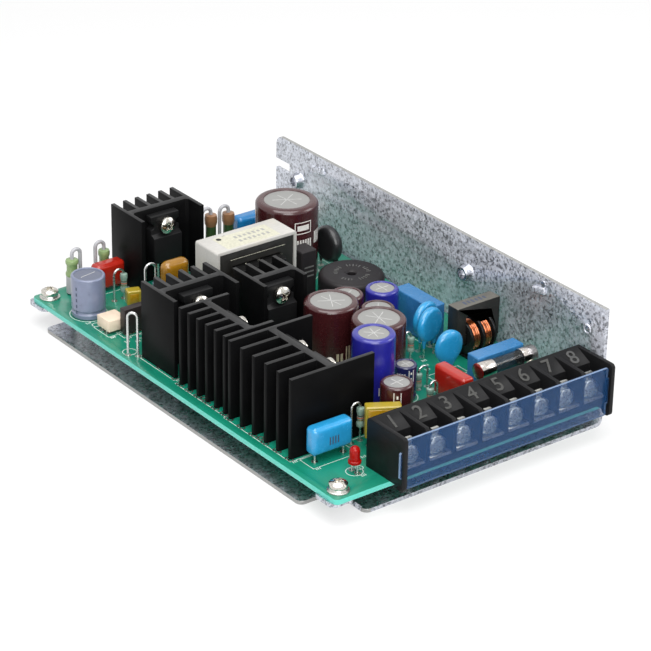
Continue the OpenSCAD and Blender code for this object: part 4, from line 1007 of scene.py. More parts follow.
class SUPPLY_OT_board(bpy.types.Operator):
    """Adds the board's mask, printed outlines, pads and solder joints"""

    bl_idname = "supply.board"
    bl_label = "Circuit Board"
    bl_options = {"REGISTER", "UNDO"}

    boxed = (
        "sky_film_capacitor", "rear_red_capacitor", "front_red_capacitor", "rear_blue_capacitor",
        "rear_line_capacitor", "front_line_capacitor", "optocoupler", "control_chip", "fuse_holder",
        "rear_transistor", "left_heatsink", "rear_heatsink", "small_comb_heatsink", "large_comb_heatsink",
        "middle_heatsink", "dark_box_capacitor", "varistor", "thermistor", "amber_capacitor",
    )
    ringed = (
        "bulk_capacitor", "output_capacitor_rear", "output_capacitor_front", "blue_capacitor_front",
        "blue_capacitor_rear", "brown_capacitor_rear", "brown_capacitor_middle", "small_capacitor_front",
        "mini_capacitor", "grey_capacitor", "ring_choke", "indicator_led",
    )
    pin_pitch = {
        "bulk_capacitor": 10, "output_capacitor_rear": 7.5, "output_capacitor_front": 7.5,
        "blue_capacitor_front": 5, "blue_capacitor_rear": 5, "brown_capacitor_rear": 5,
        "brown_capacitor_middle": 5, "small_capacitor_front": 5, "mini_capacitor": 2.5,
        "grey_capacitor": 5, "ring_choke": 14, "rear_line_capacitor": 0, "front_line_capacitor": 15,
        "dark_box_capacitor": 0,
    }
    joint_profile = ((1, 0), (0.82, 0.16), (0.55, 0.5), (0.4, 1.0), (0.38, 1.5), (0, 1.6))
    bare = ("chassis", "circuit_board", "board_screws", "board_washers", "terminal_housing", "terminal_cover")
    lone_rings = ((5.4, 127.6, 1.3), (3.6, 106.6, 2.1), (12.2, 113.4, 1.4), (16.4, 10.9, 1.1))
    lone_marks = (
        (3.4, 129.4), (4.2, 117), (6.2, 112.2), (9, 110.4), (14.2, 6.4), (70, 47.6), (71.4, 50.4),
        (68.6, 45.4), (21.4, 10.4), (20.6, 14.6), (55.8, 94.4), (60.4, 92.6),
    )

    def execute(self, context):
        sizes = context.scene.supply_sizes
        eased("circuit_board", ["board"], 0.1 * MM)
        self.print_outlines(sizes.print_line)
        self.solder(sizes.joint)
        return {"FINISHED"}

    def print_outlines(self, line):
        """Printed frames and rings round the parts' places, and small marks between them."""
        piece = Piece("board_print", "circuit_board", ["silk"])
        layer = 0.03 * MM
        for node in self.boxed:
            middle, size = centre_of(node)
            spot = moved(middle.x, middle.y, BOARD_TOP)
            piece.frame(size.x + 1.6 * MM, size.y + 1.6 * MM, line, layer, spot)
            left, front = middle.x - size.x / 2, middle.y - size.y / 2
            self.mark(piece, left - 0.2 * MM, front - 1.9 * MM, layer)
        for node in self.ringed:
            middle, size = centre_of(node)
            spot = moved(middle.x, middle.y, BOARD_TOP)
            piece.ring(size.x / 2 + 0.55 * MM, line, layer, spot)
        for x, y, radius in self.lone_rings:
            spot = moved(board_low.x + x * MM, board_low.y + y * MM, BOARD_TOP)
            piece.ring(radius * MM, line, layer, spot, steps=20)
        for x, y in self.lone_marks:
            self.mark(piece, board_low.x + x * MM, board_low.y + y * MM, layer)
        piece.done()

    def mark(self, piece, x, y, layer):
        """A small group of strokes, standing for a part's printed place mark."""
        spot = moved(x, y, BOARD_TOP)
        for i, height in enumerate((1.2, 0.8, 1.2)):
            piece.bar(i * 0.62 * MM, height * MM / 2, 0.26 * MM, height * MM, layer, spot)

    def solder(self, radius):
        """Solder joints where the parts' pins come through the board."""
        piece = Piece("solder_joints", "circuit_board", ["solder", "copper_pad"])
        for node in sorted(frame["nodes"]):
            if node in self.bare:
                continue
            pins = feet_of(node)
            if node in self.pin_pitch:
                middle, size = centre_of(node)
                half = self.pin_pitch[node] * MM / 2
                along_y = half == 0
                reach = Vector((0, size.y * 0.38, 0)) if along_y else Vector((half, 0, 0))
                pins = [middle - reach, middle + reach]
            for pin in pins:
                self.joint(piece, pin, radius)
        low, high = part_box("terminal_screws")
        for i in range(8):
            x = low.x + 3.3 * MM + (high.x - low.x - 6.6 * MM) * i / 7
            self.joint(piece, Vector((x, high.y + 5 * MM, 0)), radius * 1.4)
        for node in HEATSINKS:
            low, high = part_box(node)
            for x in (low.x + 0.6 * MM, high.x - 0.6 * MM):
                self.joint(piece, Vector((x, (low.y + high.y) / 2, 0)), radius * 1.2)
        low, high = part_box("transformer_bobbin")
        for i in range(5):
            for y in (low.y + 2 * MM, high.y - 2 * MM):
                self.joint(piece, Vector((low.x + (3 + i * 5) * MM, y, 0)), radius)
        piece.done()

    def joint(self, piece, at, radius):
        """A soldered pin under the board, and the pad round its foot on top."""
        under = moved(at.x, at.y, BOARD_UNDER) @ rotated(180, "X")
        cone = [(radius * share, height * MM) for share, height in self.joint_profile]
        piece.revolve(cone, under, 12)
        piece.ring(radius * 0.75, radius * 0.5, 0.04 * MM, moved(at.x, at.y, BOARD_TOP), 1, 16)


class SUPPLY_OT_fasteners(bpy.types.Operator):
    """Eases the screws and washers and plates them"""

    bl_idname = "supply.fasteners"
    bl_label = "Screws and Washers"
    bl_options = {"REGISTER", "UNDO"}

    def execute(self, context):
        eased("board_screws", ["screw"], 0.1 * MM)
        eased("board_washers", ["clamp"], 0.06 * MM, segments=1)
        eased("heatsink_screws", ["screw"], 0.1 * MM)
        return {"FINISHED"}


class SUPPLY_OT_terminals(bpy.types.Operator):
    """Dresses the terminal block: housing, raised digits, clamps, screws and clear cover"""

    bl_idname = "supply.terminals"
    bl_label = "Terminal Block"
    bl_options = {"REGISTER", "UNDO"}

    head_height = 2.36 * MM
    head_share = 0.9
    head_z = 16.8 * MM
    plate_y = -83.3 * MM
    strip = 0.8 * MM

    def execute(self, context):
        sizes = context.scene.supply_sizes
        eased("terminal_housing", ["housing"], sizes.ease)
        eased("terminal_clamps", ["clamp"], 0.08 * MM, segments=1)
        self.screws()
        self.contacts()
        # Faces not facing front or back take the paler edge finish: painted light on the cover's edges.
        eased("terminal_cover", ["cover", "cover_edge"], 0.1 * MM, lambda c, n: 0 if abs(n.y) > 0.5 else 1)
        self.digits(sizes.digit)
        return {"FINISHED"}

    def terminal_places(self):
        """Middle of each terminal from left to right, and how far back the screws' axes lie."""
        low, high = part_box("terminal_screws")
        radius = (high.y - low.y) / 2
        step = (high.x - low.x - 2 * radius) / 7
        return [low.x + radius + step * i for i in range(8)], (low.y + high.y) / 2

    def screws(self):
        """The terminals' screws, turned to face the front as they are seen through the cover."""
        places, axis_y = self.terminal_places()
        seat_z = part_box("terminal_screws")[1].z - self.head_height
        piece = Piece("terminal_front_screws", "terminal_screws", ["terminal_screw"], replaces=True)
        turned = eased_mesh("terminal_screws", 0.1 * MM, 2)
        for vert in turned.verts:
            x = min(places, key=lambda place: abs(place - vert.co.x))
            aside, ahead, up = vert.co.x - x, vert.co.y - axis_y, vert.co.z - seat_z
            vert.co = (x + aside * self.head_share, self.plate_y - up, self.head_z + ahead * self.head_share)
        piece.absorb(turned)
        piece.done(40)

    def contacts(self):
        """Upright contact strips behind the screws, with a narrow end above."""
        places, _ = self.terminal_places()
        piece = Piece("terminal_contacts", "terminal_clamps", ["clamp"])
        for x in places:
            stand = moved(x, self.plate_y + self.strip, 0) @ rotated(90, "X")
            half, neck, foot = 2.0 * MM, 1.2 * MM, 14.7 * MM
            shoulder, top = 19.2 * MM, 21.8 * MM
            outline = [(-half, foot), (half, foot), (half, shoulder - half + neck), (neck, shoulder)]
            outline += [(neck, top), (-neck, top), (-neck, shoulder), (-half, shoulder - half + neck)]
            piece.slab(outline, self.strip, stand)
        piece.done()

    def digits(self, size):
        """Plain numbers raised on the sloping face behind each terminal."""
        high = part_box("terminal_housing")[1]
        first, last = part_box("terminal_clamps")
        pitch = (last.x - first.x) / 8
        slope = math.atan2(2.8, 5.8)
        # The digits' lighter finish is painted highlight on the housing's black.
        piece = Piece("terminal_digits", "terminal_housing", ["digit"])
        middle_y = high.y - 4.5 * MM
        middle_z = high.z - 1.4 * MM
        span = (last.x - first.x - 7.6 * MM) / 7
        for i in range(8):
            x = first.x + 3.8 * MM + span * i
            stand = moved(x, middle_y, middle_z) @ Matrix.Rotation(slope, 4, "X")
            piece.absorb(self.digit(str(i + 1), min(size, pitch), stand), 0, False)
        piece.done(30)

    def digit(self, text, size, stand):
        """One raised digit as a mesh, centred on its place."""
        curve = bpy.data.curves.new("digit_" + text, "FONT")
        curve.body = text
        curve.size = size
        curve.extrude = 0.16 * MM
        curve.bevel_depth = 0.05 * MM
        curve.align_x = "CENTER"
        curve.align_y = "CENTER"
        holder = bpy.data.objects.new("digit_" + text, curve)
        bpy.context.scene.collection.objects.link(holder)
        solid = bmesh.new()
        evaluated = holder.evaluated_get(bpy.context.evaluated_depsgraph_get())
        solid.from_mesh(evaluated.to_mesh())
        bpy.data.objects.remove(holder)
        bpy.data.curves.remove(curve)
        bmesh.ops.transform(solid, matrix=stand, verts=solid.verts)
        return solid


class SUPPLY_OT_heatsinks(bpy.types.Operator):
    """Eases the extruded heatsinks and blackens them"""

    bl_idname = "supply.heatsinks"
    bl_label = "Heatsinks"
    bl_options = {"REGISTER", "UNDO"}

    def execute(self, context):
        sizes = context.scene.supply_sizes
        for node in HEATSINKS:
            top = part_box(node)[1].z - 1.5 * MM
            # The top faces take the lighter copy of the finish as painted reflection.
            lit_top_painted_reflection = lambda c, n: 1 if n.z > 0.7 and c.z > top else 0
            eased(node, ["anodised", "anodised_top"], sizes.ease, lit_top_painted_reflection)
        return {"FINISHED"}


class SUPPLY_OT_packages(bpy.types.Operator):
    """Parts the moulded packages from their tinned leads"""

    bl_idname = "supply.packages"
    bl_label = "Power Packages"
    bl_options = {"REGISTER", "UNDO"}

    def execute(self, context):
        sizes = context.scene.supply_sizes
        body_from = BOARD_TOP + 7.3 * MM
        for node in PACKAGES:
            eased(node, ["epoxy", "lead"], sizes.ease, lambda c, n: 1 if c.z < body_from else 0)
        return {"FINISHED"}


class SUPPLY_OT_transformer(bpy.types.Operator):
    """Builds the transformer's turns and lead wires, and dresses core, bobbin and cover"""

    bl_idname = "supply.transformer"
    bl_label = "Transformer"
    bl_options = {"REGISTER", "UNDO"}

    layers = 11

    def execute(self, context):
        sizes = context.scene.supply_sizes
        eased("transformer_core", ["ferrite"], 0.25 * MM)
        eased("transformer_bobbin", ["bobbin"], sizes.ease)
        eased("transformer_cover", ["card"], 0.2 * MM)
        self.turns()
        self.label()
        return {"FINISHED"}

    def turns(self):
        """Turns of varnished wire, each a full round of its own, under sleeved lead ends."""
        low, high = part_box("transformer_winding")
        finishes = ["winding", "tape", "wire_end"]
        piece = Piece("transformer_turns", "transformer_winding", finishes, replaces=True)
        middle = (low + high) / 2
        half = Vector(((high.x - low.x) / 2, (high.y - low.y) / 2))
        pitch = (high.z - low.z) / self.layers
        rings = []
        for i in range(self.layers * 6 + 1):
            depth = 0.32 * MM * (1 - abs(math.sin(math.pi * i / 6)))
            z = low.z + pitch * i / 6
            rings.append([Vector((x, y, z)) for x, y in self.round_outline(middle, half.x - depth, half.y - depth)])
        piece.grid(rings, 0, caps=True)
        front = low.y
        for i, (start, lean) in enumerate(((0.14, 2.6), (0.3, -2.2), (0.46, 3.0), (0.62, 1.6), (0.78, -2.4))):
            x = low.x + (high.x - low.x) * start
            wire = 0.34 * MM
            points = [(x, front + 0.6 * MM, high.z - 0.8 * MM), (x + lean * 0.2 * MM, front + 0.1 * MM, high.z - 2.2 * MM)]
            points += [(x + lean * 0.7 * MM, front - 0.1 * MM, middle.z), (x + lean * MM, front + 0.1 * MM, low.z + 1.2 * MM)]
            points += [(x + lean * 1.1 * MM, front + 0.7 * MM, low.z + 0.3 * MM)]
            piece.tube(points, wire, i % 2, 8)
        self.wire_ends(piece)
        piece.done()

    def wire_ends(self, piece):
        """Fine wire ends laid along the bobbin's front edge, with a bright line above them that is painted highlight
        on the bobbin flange's upper edge.
        """
        low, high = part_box("transformer_core")
        front = low.y - 0.05 * MM
        z = high.z - 2.6 * MM
        # The bright line along the flange's upper edge is painted highlight.
        piece.tube([(low.x + 4 * MM, front, z), (0, front, z), (high.x - 3.2 * MM, front, z)], 0.12 * MM, 2, 6)
        for i in range(9):
            x = low.x + (8.5 + 1.7 * i) * MM
            swing = random.uniform(-0.6, 0.6) * MM
            bottom = z - random.uniform(3.0, 4.6) * MM
            path = [(x, front, bottom), (x + swing, front - 0.3 * MM, bottom + 0.8 * MM)]
            piece.tube([*path, (x + 1.3 * MM, front, bottom + random.uniform(0.4, 1.6) * MM)], 0.1 * MM, 2, 6)

    def round_outline(self, middle, half_x, half_y):
        """A rectangle with wide round corners, as the wire lies on it."""
        radius = 4 * MM
        points = []
        for corner, start in (((1, 1), 0), ((-1, 1), 90), ((-1, -1), 180), ((1, -1), 270)):
            centre = (middle.x + corner[0] * (half_x - radius), middle.y + corner[1] * (half_y - radius))
            points += arc(centre, radius, start, start + 90, 8)
        return points

    def label(self):
        """A pale label on the cover with two rows of grey strokes, and a dark disc painted as the shade inside the
        cover's round hole.
        """
        middle, size = centre_of("transformer_cover")
        top = moved(middle.x, middle.y, middle.z + size.z)
        piece = Piece("transformer_label", "transformer_cover", ["label", "label_ink", "hole"])
        piece.bar(-0.4 * MM, -0.6 * MM, 19.5 * MM, 8.6 * MM, 0.03 * MM, top)
        # Dark disc: painted shade where the cover's round hole is.
        piece.slab(circle_points(0.85 * MM, 20), 0.05 * MM, top @ moved(-8.6 * MM, 2.4 * MM, 0), 2)
        for row in (-1, 1):
            for i in range(7):
                height = 1.5 * MM if (i + row) % 3 else 1.1 * MM
                piece.bar((-3.4 + i * 1.7) * MM, (row * 1.4 - 0.4) * MM, 0.9 * MM, height, 0.045 * MM, top, 1)
        piece.done()


class SUPPLY_OT_electrolytics(bpy.types.Operator):
    """Builds the sleeved capacitors with their crimped tops and printed fields"""

    bl_idname = "supply.electrolytics"
    bl_label = "Electrolytic Capacitors"
    bl_options = {"REGISTER", "UNDO"}

    def execute(self, context):
        front = math.degrees(FACING)
        logo = [("frame", front + 33, 6.0, 0.68, 0.84, 3), ("field", front + 33, 4.2, 0.725, 0.795, 3)]
        figures = bars(front + 22, 5.5, 6, 0.62, 0.47, 0.6, 3) + bars(front + 62, 5.5, 4, 0.7, 0.5, 0.66, 3)
        capacitor_can("bulk_capacitor", "brown", 0.72, 1.5 * MM, (30, 95, 150), logo + figures)
        output_print = bars(front + 16, 9, 2, 0.8, 0.2, 0.32, 4) + bars(front + 36, 7, 3, 0.5, 0.16, 0.42, 4)
        capacitor_can("output_capacitor_rear", "brown", 0.76, 1.1 * MM, (60, 150, 100), output_print)
        capacitor_can("output_capacitor_front", "brown", 0.76, 1.1 * MM, (35, 125, 80), stripe(front + 150, 4))
        blue_print = bars(front + 20, 13, 3, 1.0, 0.32, 0.42, 3) + stripe(front + 160, 3)
        capacitor_can("blue_capacitor_front", "blue", 0.7, 0.95 * MM, (15, 75, 135), blue_print)
        capacitor_can("blue_capacitor_rear", "blue", 0.72, 0.9 * MM, (0, 90), stripe(front + 120, 3))
        capacitor_can("brown_capacitor_rear", "brown", 0.76, 0.8 * MM, (20, 110), stripe(front + 200, 3))
        capacitor_can("brown_capacitor_middle", "brown", 0.76, 0.8 * MM, (50, 140), stripe(front + 100, 3))
        capacitor_can("small_capacitor_front", "brown", 0.77, 0.8 * MM, (5, 95), stripe(front + 2, 3))
        marks = stripe(front + 30, 3) + bars(front - 40, 12, 4, 0.5, 0.5, 0.82, 3)
        capacitor_can("mini_capacitor", "dark_blue", 0.72, 0.6 * MM, (0, 90), marks)
        grey_print = [("field", front - 38, 0.55, 0.14 + 0.145 * i, 0.22 + 0.145 * i, 5) for i in range(5)]
        capacitor_can("grey_capacitor", "grey_blue", 0.83, 0.5 * MM, (10,), grey_print, "can_top_grey")
        return {"FINISHED"}


class SUPPLY_OT_chokes(bpy.types.Operator):
    """Builds the cased ring choke and the line filter's copper turns"""

    bl_idname = "supply.chokes"
    bl_label = "Chokes"
    bl_options = {"REGISTER", "UNDO"}

    def execute(self, context):
        sizes = context.scene.supply_sizes
        self.ring_choke()
        # Top faces take the lighter ferrite and the sides the dark one: painted light and painted shade on one core.
        eased("filter_core", ["ferrite", "ferrite_top_painted_light"], 0.2 * MM, lambda c, n: 1 if n.z > 0.5 else 0)
        eased("filter_bobbin", ["bobbin"], sizes.ease)
        self.filter_turns(sizes.copper)
        low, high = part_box("filter_core")
        top = Matrix.Translation(between(low, high, high.z))
        piece = Piece("filter_print", "filter_core", ["dark_print"])
        for i in range(6):
            piece.bar((i - 2.5) * 1.5 * MM, 0, 0.7 * MM, (1.9 - 0.4 * (i % 2)) * MM, 0.03 * MM, top)
        piece.done()
        return {"FINISHED"}

    def ring_choke(self):
        low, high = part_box("ring_choke")
        radius = (high.x - low.x) / 2
        height = high.z - low.z
        hole = 1.4 * MM
        round_r = 1.6 * MM
        piece = Piece("ring_choke_case", "ring_choke", ["case", "case_print"], replaces=True)
        profile = [(hole, 0.2 * MM), (radius - 2.4 * MM, 0), (radius - 2.3 * MM, 1.2 * MM), (radius - 0.2 * MM, 1.2 * MM)]
        profile += [(radius, 1.4 * MM), *arc((radius - round_r, height - round_r), round_r, 0, 90, 7)]
        profile += [(hole + 1.0 * MM, height - 0.12 * MM), (hole + 0.45 * MM, height - 0.2 * MM), (hole, height - 0.6 * MM)]
        place = upright("ring_choke")
        piece.revolve([*profile, (hole, 0.2 * MM)], place, 64)
        top = place @ moved(0, 0, height - 0.1 * MM)
        for start, turn, reach in ((200, 50, 5.2), (262, 60, 5.2), (335, 45, 5.4), (25, 60, 5.2), (100, 75, 5.0)):
            for i in range(int(turn / 11)):
                spoke = top @ rotated(start + i * 11)
                piece.bar(reach * MM, 0, 1.5 * MM - 0.5 * MM * (i % 2), 0.3 * MM, 0.13 * MM, spoke, 1)
        piece.done()

    def filter_turns(self, wire):
        """Two sections of copper wire, each wound as a helix between its flanges."""
        low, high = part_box("filter_winding")
        middle = (low + high) / 2
        path_r = (high.z - low.z) / 2 - wire
        section = (high.x - low.x - 1.4 * MM) / 2
        turns = int(section / (2.08 * wire))
        piece = Piece("filter_copper", "filter_winding", ["copper"], replaces=True)
        for start in (low.x + wire, high.x - section + wire):
            rise = (section - 2 * wire) / turns
            points = []
            for i in range(turns * 24 + 1):
                angle = FULL_TURN * i / 24
                points.append((start + rise * i / 24, middle.y + path_r * math.cos(angle), middle.z + path_r * math.sin(angle)))
            piece.tube(points, wire, 0, 10)
        piece.done()


class SUPPLY_OT_boxes(bpy.types.Operator):
    """Dresses the box capacitors and the glass fuse"""

    bl_idname = "supply.boxes"
    bl_label = "Box Capacitors and Fuse"
    bl_options = {"REGISTER", "UNDO"}

    def execute(self, context):
        eased("rear_line_capacitor", ["box_blue"], 0.15 * MM)
        eased("front_line_capacitor", ["box_blue"], 0.15 * MM)
        eased("dark_box_capacitor", ["case"], 0.15 * MM)
        eased("fuse_glass", ["glass"], 0)
        eased("fuse_holder", ["fuse_cap"], 0.1 * MM)
        middle, size = centre_of("dark_box_capacitor")
        piece = Piece("dark_box_print", "dark_box_capacitor", ["case_print"])
        face = moved(middle.x, middle.y - size.y / 2, middle.z + size.z * 0.7)
        face = face @ rotated(90, "X")
        for i in range(3):
            piece.bar(0, -i * 1.5 * MM, 3.6 * MM, 0.5 * MM, 0.03 * MM, face)
        piece.done()
        return {"FINISHED"}


class SUPPLY_OT_discs(bpy.types.Operator):
    """Builds the coated discs on their leads"""

    bl_idname = "supply.discs"
    bl_label = "Discs"
    bl_options = {"REGISTER", "UNDO"}

    def execute(self, context):
        piece = Piece("coated_discs", "disc_capacitors", ["sky", "lead"], replaces=True)
        for low, high in islands("disc_capacitors"):
            radius = (high.x - low.x) / 2
            spot = Matrix.Translation(between(low, high, BOARD_TOP))
            spot = spot @ rotated(14)
            lift = high.z - BOARD_TOP - 2 * radius
            disc_body(piece, spot, radius, high.y - low.y, lift, 1.6 * MM, 5 * MM)
        piece.done()
        piece = Piece("coated_thermistor", "thermistor", ["disc_dark", "lead"], replaces=True)
        low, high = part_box("thermistor")
        radius = (high.y - low.y) / 2
        lift = high.z - BOARD_TOP - 2 * radius
        disc_body(piece, upright("thermistor", math.pi / 2), radius, high.x - low.x, lift, 1.2 * MM, 7.5 * MM)
        piece.done()
        self.varistor()
        return {"FINISHED"}

    def varistor(self):
        """A drop: a thick disc whose coating narrows to its two leads."""
        low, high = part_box("varistor")
        radius = (high.x - low.x) / 2
        depth = (high.y - low.y) / 2
        middle = between(low, high, high.z - radius)
        neck_z = BOARD_TOP + 2.2 * MM
        neck = 1.1 * MM
        shoulder = -0.62 * radius
        rings = []
        steps = 26
        for i in range(steps + 1):
            z = neck_z + (high.z - 0.02 * MM - neck_z) * (1 - math.cos(math.pi * i / steps)) / 2
            rise = z - middle.z
            if rise > shoulder:
                width = math.sqrt(max(radius**2 - rise**2, 1e-9))
            else:
                widest = math.sqrt(radius**2 - shoulder**2)
                width = neck + (widest - neck) * (z - neck_z) / (middle.z + shoulder - neck_z)
            thick = depth * min(1.0, (width / (0.75 * radius)) ** 0.6)
            ring = []
            for x, y in circle_points(1.0, 28):
                ring.append((middle.x + width * x, middle.y + thick * math.copysign(abs(y) ** 0.8, y), z))
            rings.append(ring)
        piece = Piece("coated_varistor", "varistor", ["sky", "lead"], replaces=True)
        piece.grid(rings, 0, caps=True)
        for side in (-1, 1):
            x = middle.x + side * 2.5 * MM
            piece.tube([(x, middle.y, BOARD_TOP), (x, middle.y, BOARD_TOP + 1.2 * MM),
                        (middle.x + side * 0.9 * MM, middle.y, neck_z + 0.8 * MM)], 0.35 * MM, 1)
        piece.done()


class SUPPLY_OT_films(bpy.types.Operator):
    """Builds the dipped film capacitors"""

    bl_idname = "supply.films"
    bl_label = "Film Capacitors"
    bl_options = {"REGISTER", "UNDO"}

    single = (
        ("sky_film_capacitor", "sky", (14, 4.8, 8.6), 2.6, 10, 1.5, 0.1, 0, 4),
        ("rear_red_capacitor", "red", (10.6, 5, 8.4), 0.8, 7.5, 1.4, 0.12, 0, 0),
        ("front_red_capacitor", "red", (13.6, 4.6, 9.4), 0.8, 10, 1.1, 0.1, 90, 0),
        ("rear_blue_capacitor", "sky_deep", (10.4, 5, 12.8), 1.1, 7.5, 1.4, 0.1, 0, 0),
        ("amber_capacitor", "amber", (9.6, 5, 9.2), 6.2, 7.5, 2.3, 0.15, 0, 0),
    )

    def execute(self, context):
        for node, coat, size, lift, pitch, radius, bulge, turn, marks in self.single:
            piece = Piece("dipped_" + node, node, [coat, "lead", "dark_print"], replaces=True)
            dipped_film(piece, centre_of(node)[0], size, lift, pitch, radius, bulge, turn, marks)
            piece.done()
        finishes = ["yellow_edge", "lead", "yellow"]
        piece = Piece("wrapped_films", "yellow_capacitors", finishes, replaces=True)
        shapes = (((10.4, 3.6, 10), 3, 7.5, -31), ((4.6, 3.6, 5), 1.6, 2.5, -20))
        for (low, high), (size, lift, pitch, turn) in zip(islands("yellow_capacitors"), shapes):
            middle = between(low, high, BOARD_TOP)
            body = dipped_film(piece, middle, size, lift, pitch, 0.55, 0.02, turn)
            for side in (-1, 1):
                panel = body @ moved(0, side * (size[1] / 2 - 0.3) * MM, 0)
                thick = (size[0] - 1.5) * MM, 0.8 * MM, (size[2] - 1.5) * MM
                piece.pillow(thick, 0.3 * MM, panel, 0.3, 2, 5)
        piece.done()
        return {"FINISHED"}


class SUPPLY_OT_chips(bpy.types.Operator):
    """Dresses the chips and builds the indicator lamp"""

    bl_idname = "supply.chips"
    bl_label = "Chips and Lamp"
    bl_options = {"REGISTER", "UNDO"}

    def execute(self, context):
        sizes = context.scene.supply_sizes
        eased("optocoupler", ["cream", "lead"], sizes.ease, lambda c, n: 1 if c.z < BOARD_TOP + 0.95 * MM else 0)
        eased("control_chip", ["chip_dark", "lead"], sizes.ease, lambda c, n: 1 if c.z < BOARD_TOP + 0.6 * MM else 0)
        low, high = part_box("indicator_led")
        piece = Piece("lamp", "indicator_led", ["lamp", "lead", "lamp_core"], replaces=True)
        place = upright("indicator_led")
        flange, dome, base = 1.9 * MM, 1.5 * MM, 2.8 * MM
        top = high.z - BOARD_TOP
        profile = [(0, base), (flange - 0.1 * MM, base), (flange, base + 0.1 * MM), (flange, base + 0.8 * MM)]
        profile += [(flange - 0.1 * MM, base + 0.9 * MM), (dome, base + 1.0 * MM), *arc((0, top - dome), dome, 0, 90, 9)]
        piece.revolve(profile, place, 32)
        for side in (-1, 1):
            y = place.translation.y + side * 1.27 * MM
            wire_foot(piece, place.translation.x, y, BOARD_TOP + base + 0.3 * MM, 0.27 * MM)
        core = place @ moved(0, 0, base + 1.9 * MM)
        piece.pillow((0.9 * MM, 0.9 * MM, 1.6 * MM), 0.2 * MM, core, 0, 2, 2)
        piece.done()
        return {"FINISHED"}


class SUPPLY_OT_resistors(bpy.types.Operator):
    """Builds the standing resistors with their looped leads, and the wire links"""

    bl_idname = "supply.resistors"
    bl_label = "Resistors and Links"
    bl_options = {"REGISTER", "UNDO"}

    def execute(self, context):
        self.power()
        self.sleeved()
        self.small()
        self.links()
        return {"FINISHED"}

    def power(self):
        finishes = ["lacquer_green", "lead", "lacquer_brown", "pale_sleeve"]
        piece = Piece("power_bodies", "power_resistors", finishes, replaces=True)
        for box, lift in zip(islands("power_resistors"), (5.9, 4.9)):
            standing_resistor(piece, box, 4.2, lift, 12, -1, ends=2, loop=0.6 * MM, loop_index=3)
        piece.done()

    def sleeved(self):
        finishes = ["lime", "lead", "lime", "pale_sleeve"]
        piece = Piece("sleeved_bodies", "sleeved_resistors", finishes, replaces=True)
        front, back = islands("sleeved_resistors")
        standing_resistor(piece, front, 4.2, 5.9, 6, 1, ends=2, loop=0.62 * MM, loop_index=3)
        standing_resistor(piece, back, 3.8, 3.1, 7.6, -1, ends=2, loop=0.62 * MM, loop_index=3)
        skirt = [(1.75 * MM, 0.4 * MM), (1.95 * MM, 0.6 * MM), (1.95 * MM, 6.6 * MM), (1.7 * MM, 6.7 * MM)]
        stand = moved(front[0].x + 2.1 * MM, (front[0].y + front[1].y) / 2, BOARD_TOP)
        piece.revolve([(0, 0.4 * MM), *skirt, (0, 6.7 * MM)], stand, 24, [3] * 5)
        piece.done()

    def small(self):
        finishes = ["lacquer_grey", "lead", "band_red", "band_dark", "band_gold"]
        piece = Piece("small_bodies", "small_resistors", finishes, replaces=True)
        shapes = ((4.4, 6.2, -1), (0.9, 4.4, 1), (0.8, 4.6, 1), (2.7, 5, -1), (2.2, 6.4, -1))
        for box, (lift, length, side) in zip(islands("small_resistors"), shapes):
            standing_resistor(piece, box, 2.4, lift, length, side, (4, 2, 3))
        piece.done()

    def links(self):
        piece = Piece("bent_links", "wire_links", ["lead", "link_sleeve"], replaces=True)
        wire = 0.4 * MM
        for low, high in islands("wire_links"):
            if low.z < BOARD_TOP + 0.5 * MM and high.y - low.y > 1.5 * MM and high.x - low.x < 4 * MM:
                far = (high.x - wire, low.y + wire, 0)
                piece.tube(hairpin_path((low.x + wire, high.y - wire, BOARD_TOP), high.z - wire, far, BOARD_TOP), wire)
            else:
                y = (low.y + high.y) / 2
                sleeve_x = high.x - 1.0 * MM
                path = hairpin_path((low.x + wire, y, BOARD_TOP), high.z - wire, (sleeve_x, y, 0), BOARD_TOP + 10.8 * MM)
                piece.tube(path, wire)
                sleeve = [(sleeve_x, y, BOARD_TOP + height * MM) for height in (0, 5, 11)]
                piece.tube(sleeve, 1.0 * MM, 1, 16)
        piece.done()


